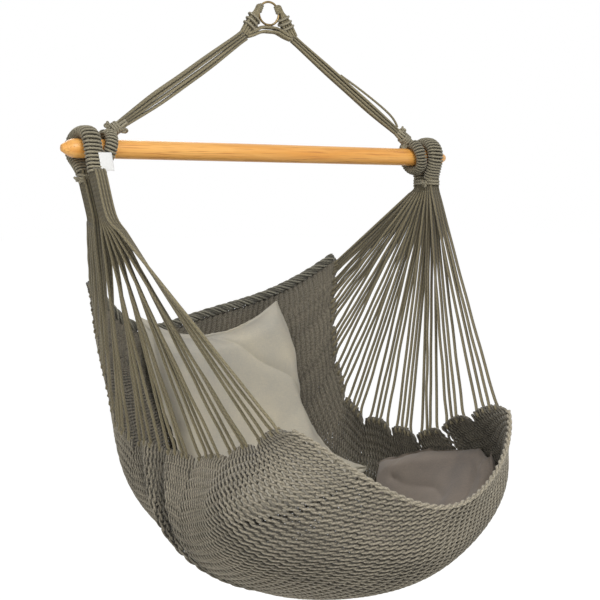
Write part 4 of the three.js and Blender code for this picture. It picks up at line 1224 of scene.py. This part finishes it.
def pillow_bag(node_name, voxel):
    """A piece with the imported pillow's form, in small even faces."""
    bag = bmesh.new()
    bag.from_mesh(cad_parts[node_name].data)
    bmesh.ops.remove_doubles(bag, verts=bag.verts, dist=0.00005)
    piece = bpy.data.objects.new(node_name + "_pillow", shape_mesh(node_name + "_bag", bag))
    bpy.context.collection.objects.link(piece)
    remesh = piece.modifiers.new("skin", "REMESH")
    remesh.mode = "VOXEL"
    remesh.voxel_size = voxel
    piece.modifiers.new("ease", "SMOOTH").iterations = 6
    skin = bpy.data.meshes.new_from_object(piece.evaluated_get(bpy.context.evaluated_depsgraph_get()))
    piece.modifiers.clear()
    piece.data = skin
    return piece


def with_lifted_top(places):
    """The small pillow's places, with its top edge raised into the rounded line that it has."""
    low, high = places[:, 2].min(), places[:, 2].max()
    height_share = (places[:, 2] - low) / (high - low)
    lifted = (height_share - side_lift_from_share) / (side_lift_full_share - side_lift_from_share)
    lift = np.interp(places[:, 1], *zip(*side_top_lifts)) * np.clip(lifted, 0, 1)
    return places + upright * lift[:, None]


def creased(places, normals, line):
    """The places, with a soft crease pressed in along a line of points."""
    fine = through(line, 60)
    gaps = np.linalg.norm(places[:, None] - fine[None], axis=2).min(axis=1)
    return places - normals * (crease_depth * np.exp(-((gaps / crease_width) ** 2)))[:, None]


def inside_net(places):
    """The places, moved in wherever they come nearer to the seat's middle surface than its cords reach."""
    stations, angles = np.meshgrid(np.linspace(0, 1, 120), np.linspace(-1.5, 1.5, 160))
    skin = seat_place(stations, angles).reshape(-1, 3)
    out = seat_normal(stations, angles).reshape(-1, 3)
    tree = point_tree(skin)
    nearest = np.array([tree.find(place)[1] for place in places])
    depth = np.sum((places - skin[nearest]) * out[nearest], axis=1)
    return places - out[nearest] * np.clip(depth + net_clearance, 0, None)[:, None]


def swell(obj, cap, thin, frames=20):
    """Blow the bag up like a filled pillow, and hold each point within cap of where it was. Its edges,
    which lie square to its thin axis, are drawn in least."""
    normals = read_rows(obj.data.vertex_normals, "vector", 3)
    rest = read_rows(obj.data.vertices, "co", 3)
    cloth = obj.modifiers.new("filling", "CLOTH")
    cloth.settings.use_pressure = True
    cloth.settings.uniform_pressure_force = pillow_pressure
    cloth.settings.effector_weights.gravity = 0
    cloth.settings.quality = 4
    for step in range(1, frames + 1):
        bpy.context.scene.frame_set(step)
    settled = obj.evaluated_get(bpy.context.evaluated_depsgraph_get()).data
    shift = read_rows(settled.vertices, "co", 3) - rest
    rise = np.sum(shift * normals, axis=1, keepdims=True)
    held = edge_draw_share + (1 - edge_draw_share) * np.abs(normals[:, thin:thin + 1])
    shift = drag_share * (shift - rise * normals) + np.where(rise < 0, rise * held, rise) * normals
    far = np.linalg.norm(shift, axis=1, keepdims=True)
    shift *= np.minimum(1, cap / np.maximum(far, 1e-9))
    obj.modifiers.remove(cloth)
    obj.data.vertices.foreach_set("co", (rest + shift).ravel())
    bpy.context.scene.frame_set(1)


cloths = {"linen": cloth_finish("pale_linen", linen_light, linen_cool),
          "taupe": cloth_finish("taupe_cloth", taupe_light, taupe_cool)}
for node_name, pillow in pillows.items():
    piece = pillow_bag(node_name, pillow["voxel"])
    skin = piece.data
    normals = read_rows(skin.vertex_normals, "vector", 3)
    places = read_rows(skin.vertices, "co", 3) - normals * pillow["shrink"]
    if node_name == "side_cushion":
        places = with_lifted_top(places)
    for line in creases[node_name]:
        places = creased(places, normals, line)
    skin.vertices.foreach_set("co", places.ravel())
    swell(piece, pillow["cap"], pillow["thin"])
    skin.vertices.foreach_set("co", inside_net(read_rows(skin.vertices, "co", 3)).ravel())
    skin.shade_smooth()
    skin.materials.append(cloths[pillow["slot"]])
    piece.modifiers.new("eased", "SMOOTH").iterations = 5
    finer = piece.modifiers.new("finer", "SUBSURF")
    finer.levels = 1
    finer.render_levels = 1
    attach(piece, node_name)
    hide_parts(node_name)


# A blank white woven label is sewn to the near loop's front leg by its top edge. It hangs along that leg,
# slightly bowed, and its foot curls forward.
label_low, label_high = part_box("care_label")
label_middle = (label_low + label_high) / 2
label_width = label_high.x - label_low.x
label_height = label_high.z - label_low.z
label_thread = 0.0004
label_curl = 0.0012
label_stand = 0.0072
label_white = (0.78, 0.775, 0.755, 1)
label_shade = (0.64, 0.635, 0.61, 1)
label_shape = bmesh.new()
bmesh.ops.create_grid(label_shape, x_segments=14, y_segments=18, size=0.5)
for spot in label_shape.verts:
    wide, tall = spot.co.x, spot.co.y
    bow = label_curl * (1 - 4 * wide * wide) - label_curl * max(-2 * tall, 0) ** 2
    forward_of_leg = label_stand + (0.5 - tall) * label_height * math.tan(-leg_angles["left"][0])
    spot.co = label_middle + Vector((wide * label_width, -bow - forward_of_leg, tall * label_height))
bmesh.ops.solidify(label_shape, geom=label_shape.faces[:], thickness=label_thread)
bmesh.ops.recalc_face_normals(label_shape, faces=label_shape.faces)
label_finish, label_tree, label_shader = new_finish("woven_label", roughness=0.7)
label_weave = speckle(label_tree, scale=1600, detail=2, stretch=(1, 1, 0.25))
painted(label_tree, label_shader, label_weave, label_shade, label_white, low=0.3, high=0.6)
bumped(label_tree, label_shader, label_weave, relief=0.0002)
label = add_piece("blank_label", shape_mesh("blank_label", label_shape), label_finish, "seat", "label",
                  "care_label")
